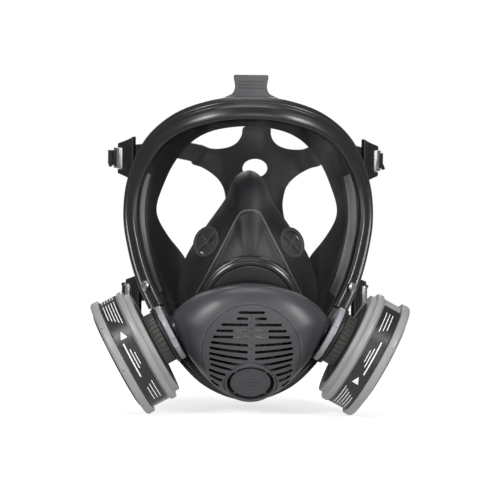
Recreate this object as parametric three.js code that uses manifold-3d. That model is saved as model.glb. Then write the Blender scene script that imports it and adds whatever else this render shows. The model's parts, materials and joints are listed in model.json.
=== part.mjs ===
// Full face respirator: panoramic lens in a rubber facepiece, a breathing unit under a slotted
// front cover, two screw-on filter cartridges and a five-strap head harness.
// Millimetres. The face looks along -Y, +Z is up, the origin is where the wearer's face seats.
import * as THREE from 'three';
import { mergeVertices } from 'three/addons/utils/BufferGeometryUtils.js';
import Module from 'manifold-3d';

const wasm = await Module();
wasm.setup();

// ---- driving dimensions --------------------------------------------------------------------
const GAP = 0.3;
const STATIONS = 44;
const ROUND = 24;
const WIDE_ROUND = 32;

const frameOutline = [
  [0, 122], [29, 119], [58, 108], [80, 88], [94, 56], [97, 26],
  [93, 0], [86, -24], [76, -46], [58, -78], [32, -104], [0, -114],
];
const visor = {
  front: -72, wrap: 62, halfWidth: 97, wrapPower: 2.2,
  flatZ: -10, browLean: 34, browZ: 122, chinLean: 20, chinDrop: 100, thickness: 2.4,
};
const ringBand = {
  width: 17, wall: 2.7, height: 4.8, depth: 8, splitZ: -44,
  browSpread: 0.2, spreadFrom: 30, spreadOver: 80,
};
const clampScrew = {
  inward: 11.5, stationsBack: 1.2, radius: 4.2, edge: 1.6, topRadius: 3, top: 2.6, socket: 1.4,
};
const flange = { from: 3.1, to: 15, top: -1.5, bottom: -4.5 };
const seal = { wall: 3, lip: 2.2, front: 8, wrap: 36, halfWidth: 90 };
const sealOuter = [
  [0, 113], [28, 110], [54, 98], [73, 80], [83, 54], [86, 26],
  [83, 0], [77, -24], [68, -46], [52, -76], [29, -98], [0, -107],
];
const sealInner = [
  [0, 98.5], [24, 95.8], [36, 91.5], [46, 84.6], [58.3, 69.3], [66.3, 53], [73, 29],
  [64, 11], [50, -6], [40, -26], [32, -46], [19, -62], [0, -68],
];

const portCentre = new THREE.Vector3(0, -69, -38);
const portAxis = tilted(10);
const port = { drum: 33, wall: 2.4, back: -9, front: 9, ring: 38.5, lens: 34 };
const portClamp = { back: -12, edge: 4, step: 6.2, front: 7.8 };
const chamberCentre = new THREE.Vector3(0, -70, -54);
const chamber = { radius: 26, wall: 2.4, back: 2, front: 29 };
const speech = {
  radius: 20.2, thickness: 0.6, at: 24, rim: 4, rimHigh: 4.5, bar: 4, barDepth: 1.8, barAt: 2.6,
};
const speechPlate = { width: 27, height: 11 };
const outletAxis = tilted(40);
const outletCentre = new THREE.Vector3(0, -103, -96);
const outlet = { ring: 20.3, ringWall: 2.3, disc: 15.6, tube: 17.5, tubeBack: -35, tubeFront: -11.5 };
const guard = { back: -9, plateBack: -4.6, plateEdge: -1.4, plateRim: -0.6, plateMiddle: -0.2, spoke: 2 };
const outletValve = { bore: 11.5, seatBack: -17.4, seatFront: -14.6, bar: 1.8, barDepth: 1.6, barAt: -16.4 };
const outletFlap = { radius: 13.4, back: -14.2, edge: -13.6, middle: -12.6 };

const armDrop = 28.5;
const armRoot = new THREE.Vector3(61, -78, -59.3);
const arm = { tube: 11, wall: 2, inner: -20, outer: -3.2, ductZ: -56, ductReach: 41 };
const connector = { radius: 22.5, thickness: 4.6, bore: 13.5, spigot: 16, spigotLength: 10.5 };
const gasket = { radius: 23, bore: 17.2, thickness: 2.6 };
const collar = { radius: 20.6, bore: 16.8, length: 8.4 };
const cartridge = { flange: 41.6, rim: 45.8, body: 44.2, cap: 47.6, inlet: 39, wall: 1.8 };
const cartridgeStep = { flange: 3.6, rim: 9.8, body: 24.4, cap: 31.2, inlet: 32.6 };
const seatBar = { width: 2, depth: 1.6 };
const capSlots = { count: 12, length: 14, depth: 12, width: 4, at: 26 };
const label = { thickness: 0.5, width: 13.4, sweepDeg: 215, turnDeg: 42 };

const cover = {
  centreZ: -62, front: -114, standoff: 9, topStandoff: 9, topFrom: -56, topSpan: 30,
  wall: 2.5, power: 3.2, fullness: 4, panelZ: -72, panelRadius: 37.4,
};
const slots = {
  width: 2.1, pitch: 4.65, topZ: -40.5, topWidth: 20, inner: 2.6, margin: 5.4,
  rows: 9, shortReach: 11.5, levelRows: 4, tighten: 0.35, dip: 2, dipStep: 0.9, bend: 0.7,
  sideRows: 3, sideStart: 16.5, sideStep: 2.4, sideEnd: 33, sideRise: 1.9, sideDip: 3.2,
};
const coverOutline = [
  [0, -20], [20, -22.4], [39.5, -29.4], [54, -40], [60, -49], [57, -61],
  [47.6, -77], [34, -94], [21, -105], [0, -112],
];

const cup = { centreZ: -20, front: -59.5, rim: -6, wall: 2.4, power: 2.1, fullness: 2 };
const cupOutline = [
  [0, 64], [11, 58], [18, 42], [33, 20], [48, -3], [56, -28], [54, -56], [40, -82], [20, -95], [0, -98],
];
const cupValve = { x: 33, z: 8, radius: 12.5, wall: 3, low: 0.6, high: 3, disc: 9, discBack: -0.4 };
const cupValveBar = { width: 2.4, depth: 1.2, at: 1.6 };
const cupValveLean = [0.62, -0.72, 0.3];

const head = { centre: new THREE.Vector3(0, 30, 20), radii: new THREE.Vector3(80, 100, 95) };
const strap = { crownWidth: 20, width: 17, thickness: 2.4, steps: 11 };
const pad = { x: 9.5, z: 62, holeWidth: 10.5, holeHeight: 8 };
const padOutline = [
  [0, 35], [11, 35], [12.4, 28], [16, 22], [22.5, 18.2], [32, 16.6], [40, 17.4], [48, 20.2],
  [54, 4.8], [46, 1.2], [38, -3.6], [31, -9.8], [26.5, -17], [24.6, -25], [24.2, -33], [26, -43],
  [29, -52], [12, -58], [6, -50], [0, -48],
];
const lug = { root: 36, tip: 24, length: 18, plate: 4, ear: 3.2, notch: 8, pin: 1.5, pinInset: 2.6 };
const crownLug = {
  root: 36, waist: 24.6, waistUp: 6.5, top: 27, height: 16.5, corner: 2, earHeight: 7, pinUp: 9, pinBack: 6,
};
const buckle = { barrel: 3.3, bore: 1.7, wire: 1.8, reach: 20, play: 1 };
const strapFold = { length: 9, back: 6, play: 1.2, start: 5 };
const SIDES = [[-1, 'left'], [1, 'right']];

// ---- materials -----------------------------------------------------------------------------
function plain(color, roughness, metalness = 0) {
  return () => new THREE.MeshStandardMaterial({ color, roughness, metalness });
}
const blackRubber = plain(0x1b1c1e, 0.55);
const satinPlastic = plain(0x232427, 0.38);
const coverPlastic = plain(0x3a3b3f, 0.5);
const clearLens = plain(0xdfe6e8, 0.05);
const greyPlastic = plain(0xa5a39e, 0.45);
const ringPlastic = plain(0xa19fa4, 0.4);
const collarPlastic = plain(0x4a4642, 0.5);
const labelFilm = plain(0x151515, 0.4);
const lightPlastic = plain(0xd5d5d2, 0.4);
const valveRubber = plain(0x6b6f73, 0.6);
const steel = plain(0xb8bbbf, 0.3, 1);
const carbon = plain(0x111111, 0.95);

// ---- shape helpers -------------------------------------------------------------------------
function tilted(degrees) {
  const angle = THREE.MathUtils.degToRad(degrees);
  return new THREE.Vector3(0, -Math.cos(angle), -Math.sin(angle));
}

function outlineCurve(half) {
  const right = half.map(([x, z]) => new THREE.Vector3(x, 0, z));
  const left = half.slice(1, -1).reverse().map(([x, z]) => new THREE.Vector3(-x, 0, z));
  return new THREE.CatmullRomCurve3([...right, ...left], true, 'centripetal');
}

function signedVolume(geometry) {
  const position = geometry.getAttribute('position');
  const index = geometry.getIndex();
  const [a, b, c] = [new THREE.Vector3(), new THREE.Vector3(), new THREE.Vector3()];
  let volume = 0;
  for (let i = 0; i < index.count; i += 3) {
    a.fromBufferAttribute(position, index.getX(i));
    b.fromBufferAttribute(position, index.getX(i + 1));
    c.fromBufferAttribute(position, index.getX(i + 2));
    volume += a.dot(b.cross(c)) / 6;
  }
  return volume;
}

function meshFrom(points, triangles) {
  const geometry = new THREE.BufferGeometry().setFromPoints(points);
  geometry.setIndex(triangles);
  if (signedVolume(geometry) < 0) {
    for (let i = 0; i < triangles.length; i += 3) {
      [triangles[i], triangles[i + 1]] = [triangles[i + 1], triangles[i]];
    }
    geometry.setIndex(triangles);
  }
  return geometry;
}

// Joins closed section loops into a body: an endless one, or one with its two ends filled in.
function loft(rows, endless, capShape) {
  const count = rows[0].length;
  const triangles = [];
  const last = endless ? rows.length : rows.length - 1;
  for (let r = 0; r < last; r++) {
    const here = r * count;
    const next = ((r + 1) % rows.length) * count;
    for (let i = 0; i < count; i++) {
      const j = (i + 1) % count;
      triangles.push(here + i, here + j, next + j, here + i, next + j, next + i);
    }
  }
  if (!endless) {
    const end = (rows.length - 1) * count;
    const turn = Math.sign(THREE.ShapeUtils.area(capShape));
    for (const face of THREE.ShapeUtils.triangulateShape(capShape, [])) {
      const forward = Math.sign(THREE.ShapeUtils.area(face.map((i) => capShape[i]))) === turn;
      const [a, b, c] = forward ? face : [face[1], face[0], face[2]];
      triangles.push(b, a, c, end + a, end + b, end + c);
    }
  }
  return meshFrom(rows.flat(), triangles);
}

// A shell between two surfaces given as surface(k, t), k from the centre to the rim.
function polarShell(front, back, rings, stations) {
  const points = [front(0, 0), back(0, 0)];
  const side = (surface) => {
    const first = points.length;
    for (let r = 1; r <= rings; r++) {
      for (let i = 0; i < stations; i++) {
        points.push(surface(r / rings, i / stations));
      }
    }
    return first;
  };
  const triangles = [];
  const bases = [side(front), side(back)];
  bases.forEach((base, which) => {
    const tri = (a, b, c) => (which === 0 ? triangles.push(a, b, c) : triangles.push(a, c, b));
    for (let i = 0; i < stations; i++) {
      const j = (i + 1) % stations;
      tri(which, base + i, base + j);
      for (let r = 0; r < rings - 1; r++) {
        const near = base + r * stations;
        const far = near + stations;
        tri(near + i, far + i, far + j);
        tri(near + i, far + j, near + j);
      }
    }
  });
  const [frontRim, backRim] = bases.map((base) => base + (rings - 1) * stations);
  for (let i = 0; i < stations; i++) {
    const j = (i + 1) % stations;
    triangles.push(frontRim + i, backRim + i, backRim + j, frontRim + i, backRim + j, frontRim + j);
  }
  return meshFrom(points, triangles);
}

function lathe(profile, segments = ROUND) {
  return new THREE.LatheGeometry(profile.map(([r, h]) => new THREE.Vector2(r, h)), segments);
}

// A closed ring section between two radii and two heights.
function tube(outer, inner, low, high, segments = ROUND) {
  return lathe([[inner, low], [outer, low], [outer, high], [inner, high], [inner, low]], segments);
}

function disc(radius, low, high, segments = ROUND) {
  return lathe([[0, low], [radius, low], [radius, high], [0, high]], segments);
}

function box(width, depth, height, x = 0, y = 0, z = 0) {
  return new THREE.BoxGeometry(width, depth, height).translate(x, y, z);
}

function frameAt(position, direction) {
  const turn = new THREE.Quaternion().setFromUnitVectors(new THREE.Vector3(0, 1, 0), direction);
  return new THREE.Matrix4().compose(position, turn, new THREE.Vector3(1, 1, 1));
}

function solid(geometry) {
  const bare = geometry.clone();
  bare.deleteAttribute('normal');
  bare.deleteAttribute('uv');
  const merged = mergeVertices(bare, 1e-3);
  const keep = [];
  const index = merged.getIndex().array;
  for (let i = 0; i < index.length; i += 3) {
    const [a, b, c] = [index[i], index[i + 1], index[i + 2]];
    if (a !== b && b !== c && c !== a) {
      keep.push(a, b, c);
    }
  }
  merged.setIndex(keep);
  if (signedVolume(merged) < 0) {
    for (let i = 0; i < keep.length; i += 3) {
      [keep[i], keep[i + 1]] = [keep[i + 1], keep[i]];
    }
  }
  const vertProperties = new Float32Array(merged.getAttribute('position').array);
  return new wasm.Manifold(new wasm.Mesh({ numProp: 3, vertProperties, triVerts: new Uint32Array(keep) }));
}

function geometryOf(manifold) {
  const mesh = manifold.getMesh();
  const geometry = new THREE.BufferGeometry();
  geometry.setAttribute('position', new THREE.BufferAttribute(mesh.vertProperties, 3));
  geometry.setIndex(new THREE.BufferAttribute(mesh.triVerts, 1));
  return geometry;
}

function join(...geometries) {
  return geometryOf(geometries.map(solid).reduce((whole, piece) => whole.add(piece)));
}

function cut(geometry, ...cutters) {
  return geometryOf(cutters.reduce((whole, cutter) => whole.subtract(solid(cutter)), solid(geometry)));
}

function common(geometry, other) {
  return geometryOf(solid(geometry).intersect(solid(other)));
}

const respirator = new THREE.Group();

function add(name, geometry, material, parent = respirator) {
  const mesh = new THREE.Mesh(geometry, material());
  mesh.name = name;
  parent.add(mesh);
  return mesh;
}

function axisGroup(position, direction, parent = respirator) {
  const group = new THREE.Group();
  group.position.copy(position);
  group.quaternion.setFromUnitVectors(new THREE.Vector3(0, 1, 0), direction);
  parent.add(group);
  return group;
}

// ---- lens frame surface --------------------------------------------------------------------
const frameCurve = outlineCurve(frameOutline);

function visorY(x, z) {
  const wrap = visor.wrap * (Math.abs(x) / visor.halfWidth) ** visor.wrapPower;
  const rise = (z - visor.flatZ) / (visor.browZ - visor.flatZ);
  const drop = (visor.flatZ - z) / visor.chinDrop;
  return visor.front + wrap + (rise > 0 ? visor.browLean * rise ** 2 : visor.chinLean * drop ** 2);
}

function visorNormal(x, z) {
  const step = 0.5;
  const slopeX = (visorY(x + step, z) - visorY(x - step, z)) / (2 * step);
  const slopeZ = (visorY(x, z + step) - visorY(x, z - step)) / (2 * step);
  return new THREE.Vector3(slopeX, -1, slopeZ).normalize();
}

// The point at outline station t, `inward` along the lens surface and `lift` out of it.
function framePoint(t, inward, lift) {
  const wrapped = ((t % 1) + 1) % 1;
  const edge = frameCurve.getPointAt(wrapped);
  const along = frameCurve.getTangentAt(wrapped);
  const slope = visorY(edge.x + along.z, edge.z - along.x) - visorY(edge.x, edge.z);
  const run = inward / Math.hypot(1, slope);
  const x = edge.x + along.z * run;
  const z = edge.z - along.x * run;
  return new THREE.Vector3(x, visorY(x, z), z).addScaledVector(visorNormal(x, z), lift);
}

function splitStation() {
  let station = 0;
  while (frameCurve.getPointAt(station / STATIONS).z > ringBand.splitZ) {
    station += 1;
  }
  return station / STATIONS;
}

// ---- lens, clamp ring, facepiece -----------------------------------------------------------
const ringSection = [
  [0, -ringBand.depth], [0, 2.2], [1.6, 4.2], [5.2, ringBand.height], [6.6, 3.9], [8.4, ringBand.height],
  [12.5, 4.6], [15.6, 3.6], [ringBand.width, 1.5], [10, 1.5], [ringBand.wall, 1.5],
  [ringBand.wall, -ringBand.depth],
];

function ringPart(from, to) {
  const steps = Math.round((to - from) * STATIONS);
  const rows = [];
  for (let i = 0; i <= steps; i++) {
    const trim = i === 0 ? 0.001 : i === steps ? -0.001 : 0;
    const t = from + i / STATIONS + trim;
    const rise = (frameCurve.getPointAt(((t % 1) + 1) % 1).z - ringBand.spreadFrom) / ringBand.spreadOver;
    const spread = 1 + ringBand.browSpread * THREE.MathUtils.clamp(rise, 0, 1);
    rows.push(ringSection.map(([inward, lift]) => (
      framePoint(t, inward > ringBand.wall ? inward * spread : inward, lift)
    )));
  }
  return loft(rows, false, ringSection.map(([inward, lift]) => new THREE.Vector2(inward, lift)));
}

// A sheet that follows the lens surface between two lifts, out to the clamp ring's wall.
function visorSheet(low, high) {
  const seat = [5, 10, 17];
  const rings = 6;
  const innerRings = rings - seat.length + 1;
  const surface = (lift) => (k, t) => {
    const ring = Math.round(k * rings);
    if (ring >= innerRings) {
      return framePoint(t, seat[rings - ring], lift);
    }
    const edge = framePoint(t, seat[2], 0);
    const x = (edge.x * ring) / innerRings;
    const z = (edge.z * ring) / innerRings;
    return new THREE.Vector3(x, visorY(x, z), z).addScaledVector(visorNormal(x, z), lift);
  };
  return polarShell(surface(high), surface(low), rings, STATIONS);
}

function lensSolid() {
  const half = visor.thickness / 2;
  const hole = disc(port.lens, -20, 20).applyMatrix4(frameAt(portCentre, portAxis));
  return cut(visorSheet(-half, half), hole);
}

function sealY(x) {
  return seal.front + seal.wrap * (x / seal.halfWidth) ** 2;
}

function faceSkirt() {
  const outerCurve = outlineCurve(sealOuter);
  const innerCurve = outlineCurve(sealInner);
  const rows = [];
  for (let i = 0; i < STATIONS; i++) {
    const t = i / STATIONS;
    const outer = outerCurve.getPointAt(t);
    const inner = innerCurve.getPointAt(t);
    outer.y = sealY(outer.x);
    inner.y = sealY(inner.x) - 3;
    const centre = new THREE.Vector3(0, outer.y, outer.z * 0.4);
    const inward = centre.sub(outer).normalize();
    const shoulder = framePoint(t, flange.from, -ringBand.depth - 1.5);
    const at = (from, to, share, dy = 0) => from.clone().lerp(to, share).add(new THREE.Vector3(0, dy, 0));
    const outerIn = outer.clone().addScaledVector(inward, seal.wall);
    const shoulderIn = framePoint(t, flange.from + seal.wall, -ringBand.depth - 1.5);
    const bulge = inward.clone().multiplyScalar(-3);
    rows.push([
      framePoint(t, flange.from, flange.top), framePoint(t, flange.to, flange.top),
      framePoint(t, flange.to, flange.bottom), framePoint(t, flange.from + seal.wall + 1, flange.bottom),
      shoulderIn, at(shoulderIn, outerIn, 0.5).add(bulge), at(outerIn, outer, 0, -2),
      at(outerIn, inner, 0.5, -1.5 - seal.lip), at(inner, inner, 0, -seal.lip), inner,
      at(outer, inner, 0.5, -1.5), at(outer, inner, 0.04, 0.6), outer,
      at(shoulder, outer, 0.5).add(bulge), shoulder,
    ]);
  }
  return loft(rows, true);
}

const split = splitStation();
add('lens', lensSolid(), clearLens);
add('lens_ring_upper', ringPart(-split, split), satinPlastic);
add('lens_ring_lower', ringPart(split, 1 - split), satinPlastic);
add('face_skirt', faceSkirt(), blackRubber);

for (const [side, name] of SIDES) {
  const t = side * (split - clampScrew.stationsBack / STATIONS);
  const seat = framePoint(t, clampScrew.inward, ringBand.height + GAP + 0.2);
  const up = framePoint(t, clampScrew.inward, 2 * ringBand.height).sub(seat).normalize();
  const screwHead = lathe([
    [0, 0], [clampScrew.radius, 0], [clampScrew.radius, clampScrew.edge],
    [clampScrew.topRadius, clampScrew.top], [clampScrew.socket, clampScrew.top], [clampScrew.socket, clampScrew.socket], [0, clampScrew.socket],
  ], 20);
  add(`clamp_screw_${name}`, screwHead, steel, axisGroup(seat, up));
}

// ---- nose cup and its valves ---------------------------------------------------------------
function dome(outline, spec, rimY, inset) {
  const curve = outlineCurve(outline);
  return (k, t) => {
    const edge = curve.getPointAt(t);
    const reach = Math.hypot(edge.x, edge.z - spec.centreZ);
    const scale = k * (1 - inset / reach);
    const rim = rimY(edge.x, edge.z);
    const swell = Math.max(0, 1 - k ** spec.power) ** (1 / spec.fullness);
    return new THREE.Vector3(
      edge.x * scale,
      rim + (spec.front + inset - rim) * swell,
      spec.centreZ + (edge.z - spec.centreZ) * scale,
    );
  };
}

function cupValveGroups() {
  return SIDES.map(([side, name]) => {
    const surface = dome(cupOutline, cup, () => cup.rim, 0);
    const [leanX, leanY, leanZ] = cupValveLean;
    const aim = new THREE.Vector3(side * leanX, leanY, leanZ).normalize();
    let best = null;
    for (let i = 0; i < 200; i++) {
      for (let r = 1; r < 20; r++) {
        const point = surface(r / 20, i / 200);
        const miss = Math.hypot(point.x - side * cupValve.x, point.z - cupValve.z);
        if (best === null || miss < best.miss) {
          best = { miss, point };
        }
      }
    }
    return { side, name, centre: best.point, aim };
  });
}

const cupValves = cupValveGroups();
const cupShell = polarShell(
  dome(cupOutline, cup, () => cup.rim, 0), dome(cupOutline, cup, () => cup.rim, cup.wall), 5, 28);
const cupPort = disc(port.drum + GAP, -40, 40).applyMatrix4(frameAt(portCentre, portAxis));
const cupHoles = cupValves.map(({ centre, aim }) => (
  disc(cupValve.radius - 2, -12, 12, 24).applyMatrix4(frameAt(centre, aim))
));
const cupSeatClearance = cupValves.map(({ centre, aim }) => (
  tube(cupValve.radius + GAP, cupValve.radius - cupValve.wall - 1, cupValve.low - GAP, 8, 24)
    .applyMatrix4(frameAt(centre, aim))
));
add('nose_cup', cut(cupShell, cupPort, ...cupHoles, ...cupSeatClearance), blackRubber);

for (const { name, centre, aim } of cupValves) {
  const place = axisGroup(centre, aim);
  const rim = tube(cupValve.radius, cupValve.radius - cupValve.wall, cupValve.low, cupValve.high, 24);
  const span = 2 * cupValve.radius - cupValve.wall - 1;
  const bar = box(span, cupValveBar.depth, cupValveBar.width, 0, cupValveBar.at, 0);
  const cross = box(cupValveBar.width, cupValveBar.depth, span, 0, cupValveBar.at, 0);
  add(`nose_cup_valve_seat_${name}`, join(rim, bar, cross), collarPlastic, place);
  const flap = disc(cupValve.disc, cupValve.discBack, cupValve.low, 24);
  add(`nose_cup_valve_disc_${name}`, flap, valveRubber, place);
}

// ---- breathing housing ---------------------------------------------------------------------
function armFrame(side) {
  const angle = THREE.MathUtils.degToRad(armDrop);
  const direction = new THREE.Vector3(side * Math.cos(angle), 0, -Math.sin(angle));
  const centre = new THREE.Vector3(side * armRoot.x, armRoot.y, armRoot.z);
  return { direction, centre, matrix: frameAt(centre, direction) };
}

const arms = SIDES.map(([side, name]) => ({ side, name, ...armFrame(side) }));
const portMatrix = frameAt(portCentre, portAxis);
const chamberMatrix = frameAt(chamberCentre, portAxis);
const outletMatrix = frameAt(outletCentre, outletAxis);

// The level duct that joins both inlet arms to the chamber.
function duct(radius, reach) {
  return new THREE.CylinderGeometry(radius, radius, 2 * reach, ROUND).rotateZ(Math.PI / 2)
    .translate(0, armRoot.y, arm.ductZ);
}

function breathingHousing() {
  const outside = join(
    disc(port.drum, port.back, port.front).applyMatrix4(portMatrix),
    disc(chamber.radius, chamber.back, chamber.front).applyMatrix4(chamberMatrix),
    disc(outlet.tube, outlet.tubeBack, outlet.tubeFront).applyMatrix4(outletMatrix),
    duct(arm.tube, arm.ductReach),
    ...arms.map(({ matrix }) => disc(arm.tube, arm.inner, arm.outer).applyMatrix4(matrix)),
  );
  const armBore = arm.tube - arm.wall;
  return cut(
    outside,
    disc(port.drum - port.wall, port.back - 1, port.front - port.wall).applyMatrix4(portMatrix),
    disc(chamber.radius - chamber.wall, chamber.back - 3, chamber.front + 1).applyMatrix4(chamberMatrix),
    disc(outlet.tube - port.wall, outlet.tubeBack + 8, outlet.tubeFront + 1).applyMatrix4(outletMatrix),
    duct(armBore, arm.ductReach - arm.wall),
    ...arms.map(({ matrix }) => disc(armBore, arm.inner + 1, arm.outer + 1).applyMatrix4(matrix)),
  );
}

// The clamp ring of the port: its back follows the lens and it makes room for the two arms.
function portRing() {
  const { back, edge, step, front } = portClamp;
  const inner = port.drum + GAP;
  const blank = lathe([
    [inner, back], [port.ring, back], [port.ring, edge], [port.ring - 1.4, edge + 1], [port.ring - 1.4, step],
    [port.ring - 3.2, step + 0.8], [port.ring - 3.2, front], [inner, front], [inner, back],
  ]).applyMatrix4(portMatrix);
  const lensSide = visorSheet(-20, visor.thickness / 2 + GAP);
  const chamberRoom = disc(chamber.radius + GAP, chamber.back - GAP, chamber.front)
    .applyMatrix4(chamberMatrix);
  return cut(blank, lensSide, chamberRoom, duct(arm.tube + GAP, arm.ductReach));
}

add('breathing_housing', breathingHousing(), satinPlastic);
add('port_ring', portRing(), satinPlastic);
const chamberGroup = axisGroup(chamberCentre, portAxis);
add('speech_diaphragm', disc(speech.radius, speech.at, speech.at + speech.thickness), steel, chamberGroup);
const retainerRim = tube(
  speech.radius + 0.6, speech.radius - speech.rim, speech.at + 1, speech.at + speech.rimHigh);
const barAt = speech.at + speech.barAt;
const retainerBar = box(2 * speech.radius - speech.rim, speech.barDepth, speech.bar, 0, barAt, 0);
const retainerPlate = box(speechPlate.width, speech.barDepth, speechPlate.height, 0, barAt, 0);
add('diaphragm_retainer', join(retainerRim, retainerBar, retainerPlate), lightPlastic, chamberGroup);

// ---- front cover, grille panel, outlet guard -----------------------------------------------
function coverRim(x, z) {
  const top = THREE.MathUtils.clamp((z - cover.topFrom) / cover.topSpan, 0, 1);
  return visorY(x, z) - cover.standoff - cover.topStandoff * top;
}

function coverShell(rings, stations) {
  return polarShell(
    dome(coverOutline, cover, coverRim, 0), dome(coverOutline, cover, coverRim, cover.wall), rings, stations);
}

function alongY(radius, z, low, high, segments) {
  return disc(radius, low, high, segments).translate(0, 0, z);
}

// One slot: a bar that dips towards the mask's middle line by `dip`.
function slotCutter(side, inner, outer, z, dip) {
  const shape = new THREE.Shape();
  const half = slots.width / 2;
  const low = z - dip * slots.bend;
  const bend = (inner + outer) / 2;
  shape.moveTo(inner, z - dip - half);
  shape.quadraticCurveTo(bend, low - half, outer, z - half);
  shape.lineTo(outer, z + half);
  shape.quadraticCurveTo(bend, low + half, inner, z - dip + half);
  shape.closePath();
  const curveSegments = dip > 0 ? 2 : 1;
  const bar = new THREE.ExtrudeGeometry(shape, { depth: 60, bevelEnabled: false, curveSegments });
  bar.rotateX(Math.PI / 2).translate(0, -70, 0);
  return side < 0 ? bar.scale(-1, 1, 1) : bar;
}

function slotCutters() {
  const cutters = [];
  for (let row = 1; row <= slots.rows; row++) {
    const lower = Math.max(0, row - slots.levelRows);
    const z = slots.topZ - row * slots.pitch + lower * slots.tighten;
    const chord = Math.sqrt((cover.panelRadius - slots.margin) ** 2 - (z - cover.panelZ) ** 2);
    const reach = row === 1 ? slots.shortReach : chord;
    const dip = lower > 0 ? slots.dip + (lower - 1) * slots.dipStep : 0;
    cutters.push(slotCutter(-1, slots.inner, reach, z, dip), slotCutter(1, slots.inner, reach, z, dip));
  }
  for (let row = 1; row <= slots.sideRows; row++) {
    const z = slots.topZ - (slots.rows + row) * slots.pitch + slots.sideRise;
    const start = slots.sideStart + row * slots.sideStep;
    const end = slots.sideEnd - row;
    cutters.push(slotCutter(-1, start, end, z, slots.sideDip), slotCutter(1, start, end, z, slots.sideDip));
  }
  cutters.push(box(slots.topWidth, 60, slots.width, 0, -100, slots.topZ));
  return cutters;
}

const outletBore = disc(outlet.ring + GAP, -30, 30).applyMatrix4(outletMatrix);
const armBores = arms.flatMap(({ matrix }) => [
  disc(arm.tube + 0.6, arm.inner - 1, 10).applyMatrix4(matrix),
  disc(60, -connector.thickness / 2 - 0.7, 30).applyMatrix4(matrix),
]);
const panelRoom = alongY(cover.panelRadius + GAP, cover.panelZ, -140, -78, WIDE_ROUND);
add('front_cover', cut(coverShell(6, 40), panelRoom, outletBore, ...armBores), coverPlastic);
const panelBlank = common(
  coverShell(4, 24), alongY(cover.panelRadius, cover.panelZ, -140, -79, WIDE_ROUND));
add('grille_panel', cut(panelBlank, outletBore, ...slotCutters()), coverPlastic);

function outletGuard() {
  const rim = tube(outlet.ring, outlet.ring - outlet.ringWall, guard.back, 0);
  const plate = lathe([
    [0, guard.plateBack], [outlet.disc, guard.plateBack], [outlet.disc, guard.plateEdge],
    [outlet.disc - 1, guard.plateRim], [0, guard.plateMiddle],
  ]);
  const spokes = [45, 135].map((degrees) => (
    box(2 * outlet.ring - 2, 3, guard.spoke, 0, -3, 0).rotateY(THREE.MathUtils.degToRad(degrees))
  ));
  return join(rim, plate, ...spokes);
}

const outletGroup = axisGroup(outletCentre, outletAxis);
add('outlet_guard', outletGuard(), coverPlastic, outletGroup);
const seatRim = tube(
  outlet.tube - port.wall - GAP, outletValve.bore, outletValve.seatBack, outletValve.seatFront, 28);
const seatBars = [0, 90].map((degrees) => (
  box(2 * outletValve.bore + 2, outletValve.barDepth, outletValve.bar, 0, outletValve.barAt, 0)
    .rotateY(THREE.MathUtils.degToRad(degrees))
));
add('exhalation_valve_seat', join(seatRim, ...seatBars), lightPlastic, outletGroup);
const flapEdge = outletFlap.radius - 0.4;
add('exhalation_valve_disc', lathe([
  [0, outletFlap.back], [flapEdge, outletFlap.back], [outletFlap.radius, outletFlap.edge],
  [0, outletFlap.middle],
], 28), valveRubber, outletGroup);

// ---- connectors and cartridges -------------------------------------------------------------
function cartridgeBody() {
  const { flange: flangeTop, rim, body } = cartridgeStep;
  const w = cartridge.wall;
  return lathe([
    [collar.bore + 1, 0], [cartridge.flange, 0], [cartridge.flange, flangeTop],
    [cartridge.rim, flangeTop + 1], [cartridge.rim, rim - 1], [cartridge.body, rim], [cartridge.body, body],
    [cartridge.body - w, body], [cartridge.body - w, rim - 2], [cartridge.flange - 2 * w, flangeTop - w],
    [collar.bore + 1, flangeTop - w], [collar.bore + 1, 0],
  ], WIDE_ROUND);
}

function cartridgeCap() {
  const { body, cap, inlet } = cartridgeStep;
  const w = cartridge.wall;
  const shellPart = lathe([
    [0, inlet - w - 1.2], [cartridge.body - w, inlet - w - 1.2], [cartridge.body - w, body + GAP],
    [cartridge.cap, body + GAP], [cartridge.cap, cap - 1.4], [cartridge.cap - 1.2, cap],
    [cartridge.inlet + 1, cap], [cartridge.inlet, inlet], [0, inlet],
  ], WIDE_ROUND);
  const cutters = [];
  for (let i = 0; i < capSlots.count; i++) {
    const slot = box(capSlots.length, capSlots.depth, capSlots.width, capSlots.at, inlet, 0);
    cutters.push(slot.rotateY((i / capSlots.count) * 2 * Math.PI));
  }
  return cut(shellPart, ...cutters);
}

function wrapLabel(side) {
  const low = cartridgeStep.rim + GAP + 0.4;
  const high = low + label.width;
  const inner = cartridge.body + GAP;
  const outer = inner + label.thickness;
  const steps = 22;
  const rows = [];
  const sweep = THREE.MathUtils.degToRad(label.sweepDeg);
  const middle = side > 0 ? -armDrop - label.turnDeg : armDrop - 180 - label.turnDeg;
  const start = THREE.MathUtils.degToRad(middle) - sweep / 2;
  for (let i = 0; i <= steps; i++) {
    const angle = start + (i / steps) * sweep;
    const [dx, dz] = [Math.cos(angle), Math.sin(angle)];
    const at = (radius, height) => new THREE.Vector3(radius * dx, height, radius * dz);
    rows.push([at(inner, low), at(outer, low), at(outer, high), at(inner, high)]);
  }
  const section = [[inner, low], [outer, low], [outer, high], [inner, high]];
  return loft(rows, false, section.map(([r, h]) => new THREE.Vector2(r, h)));
}

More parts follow.
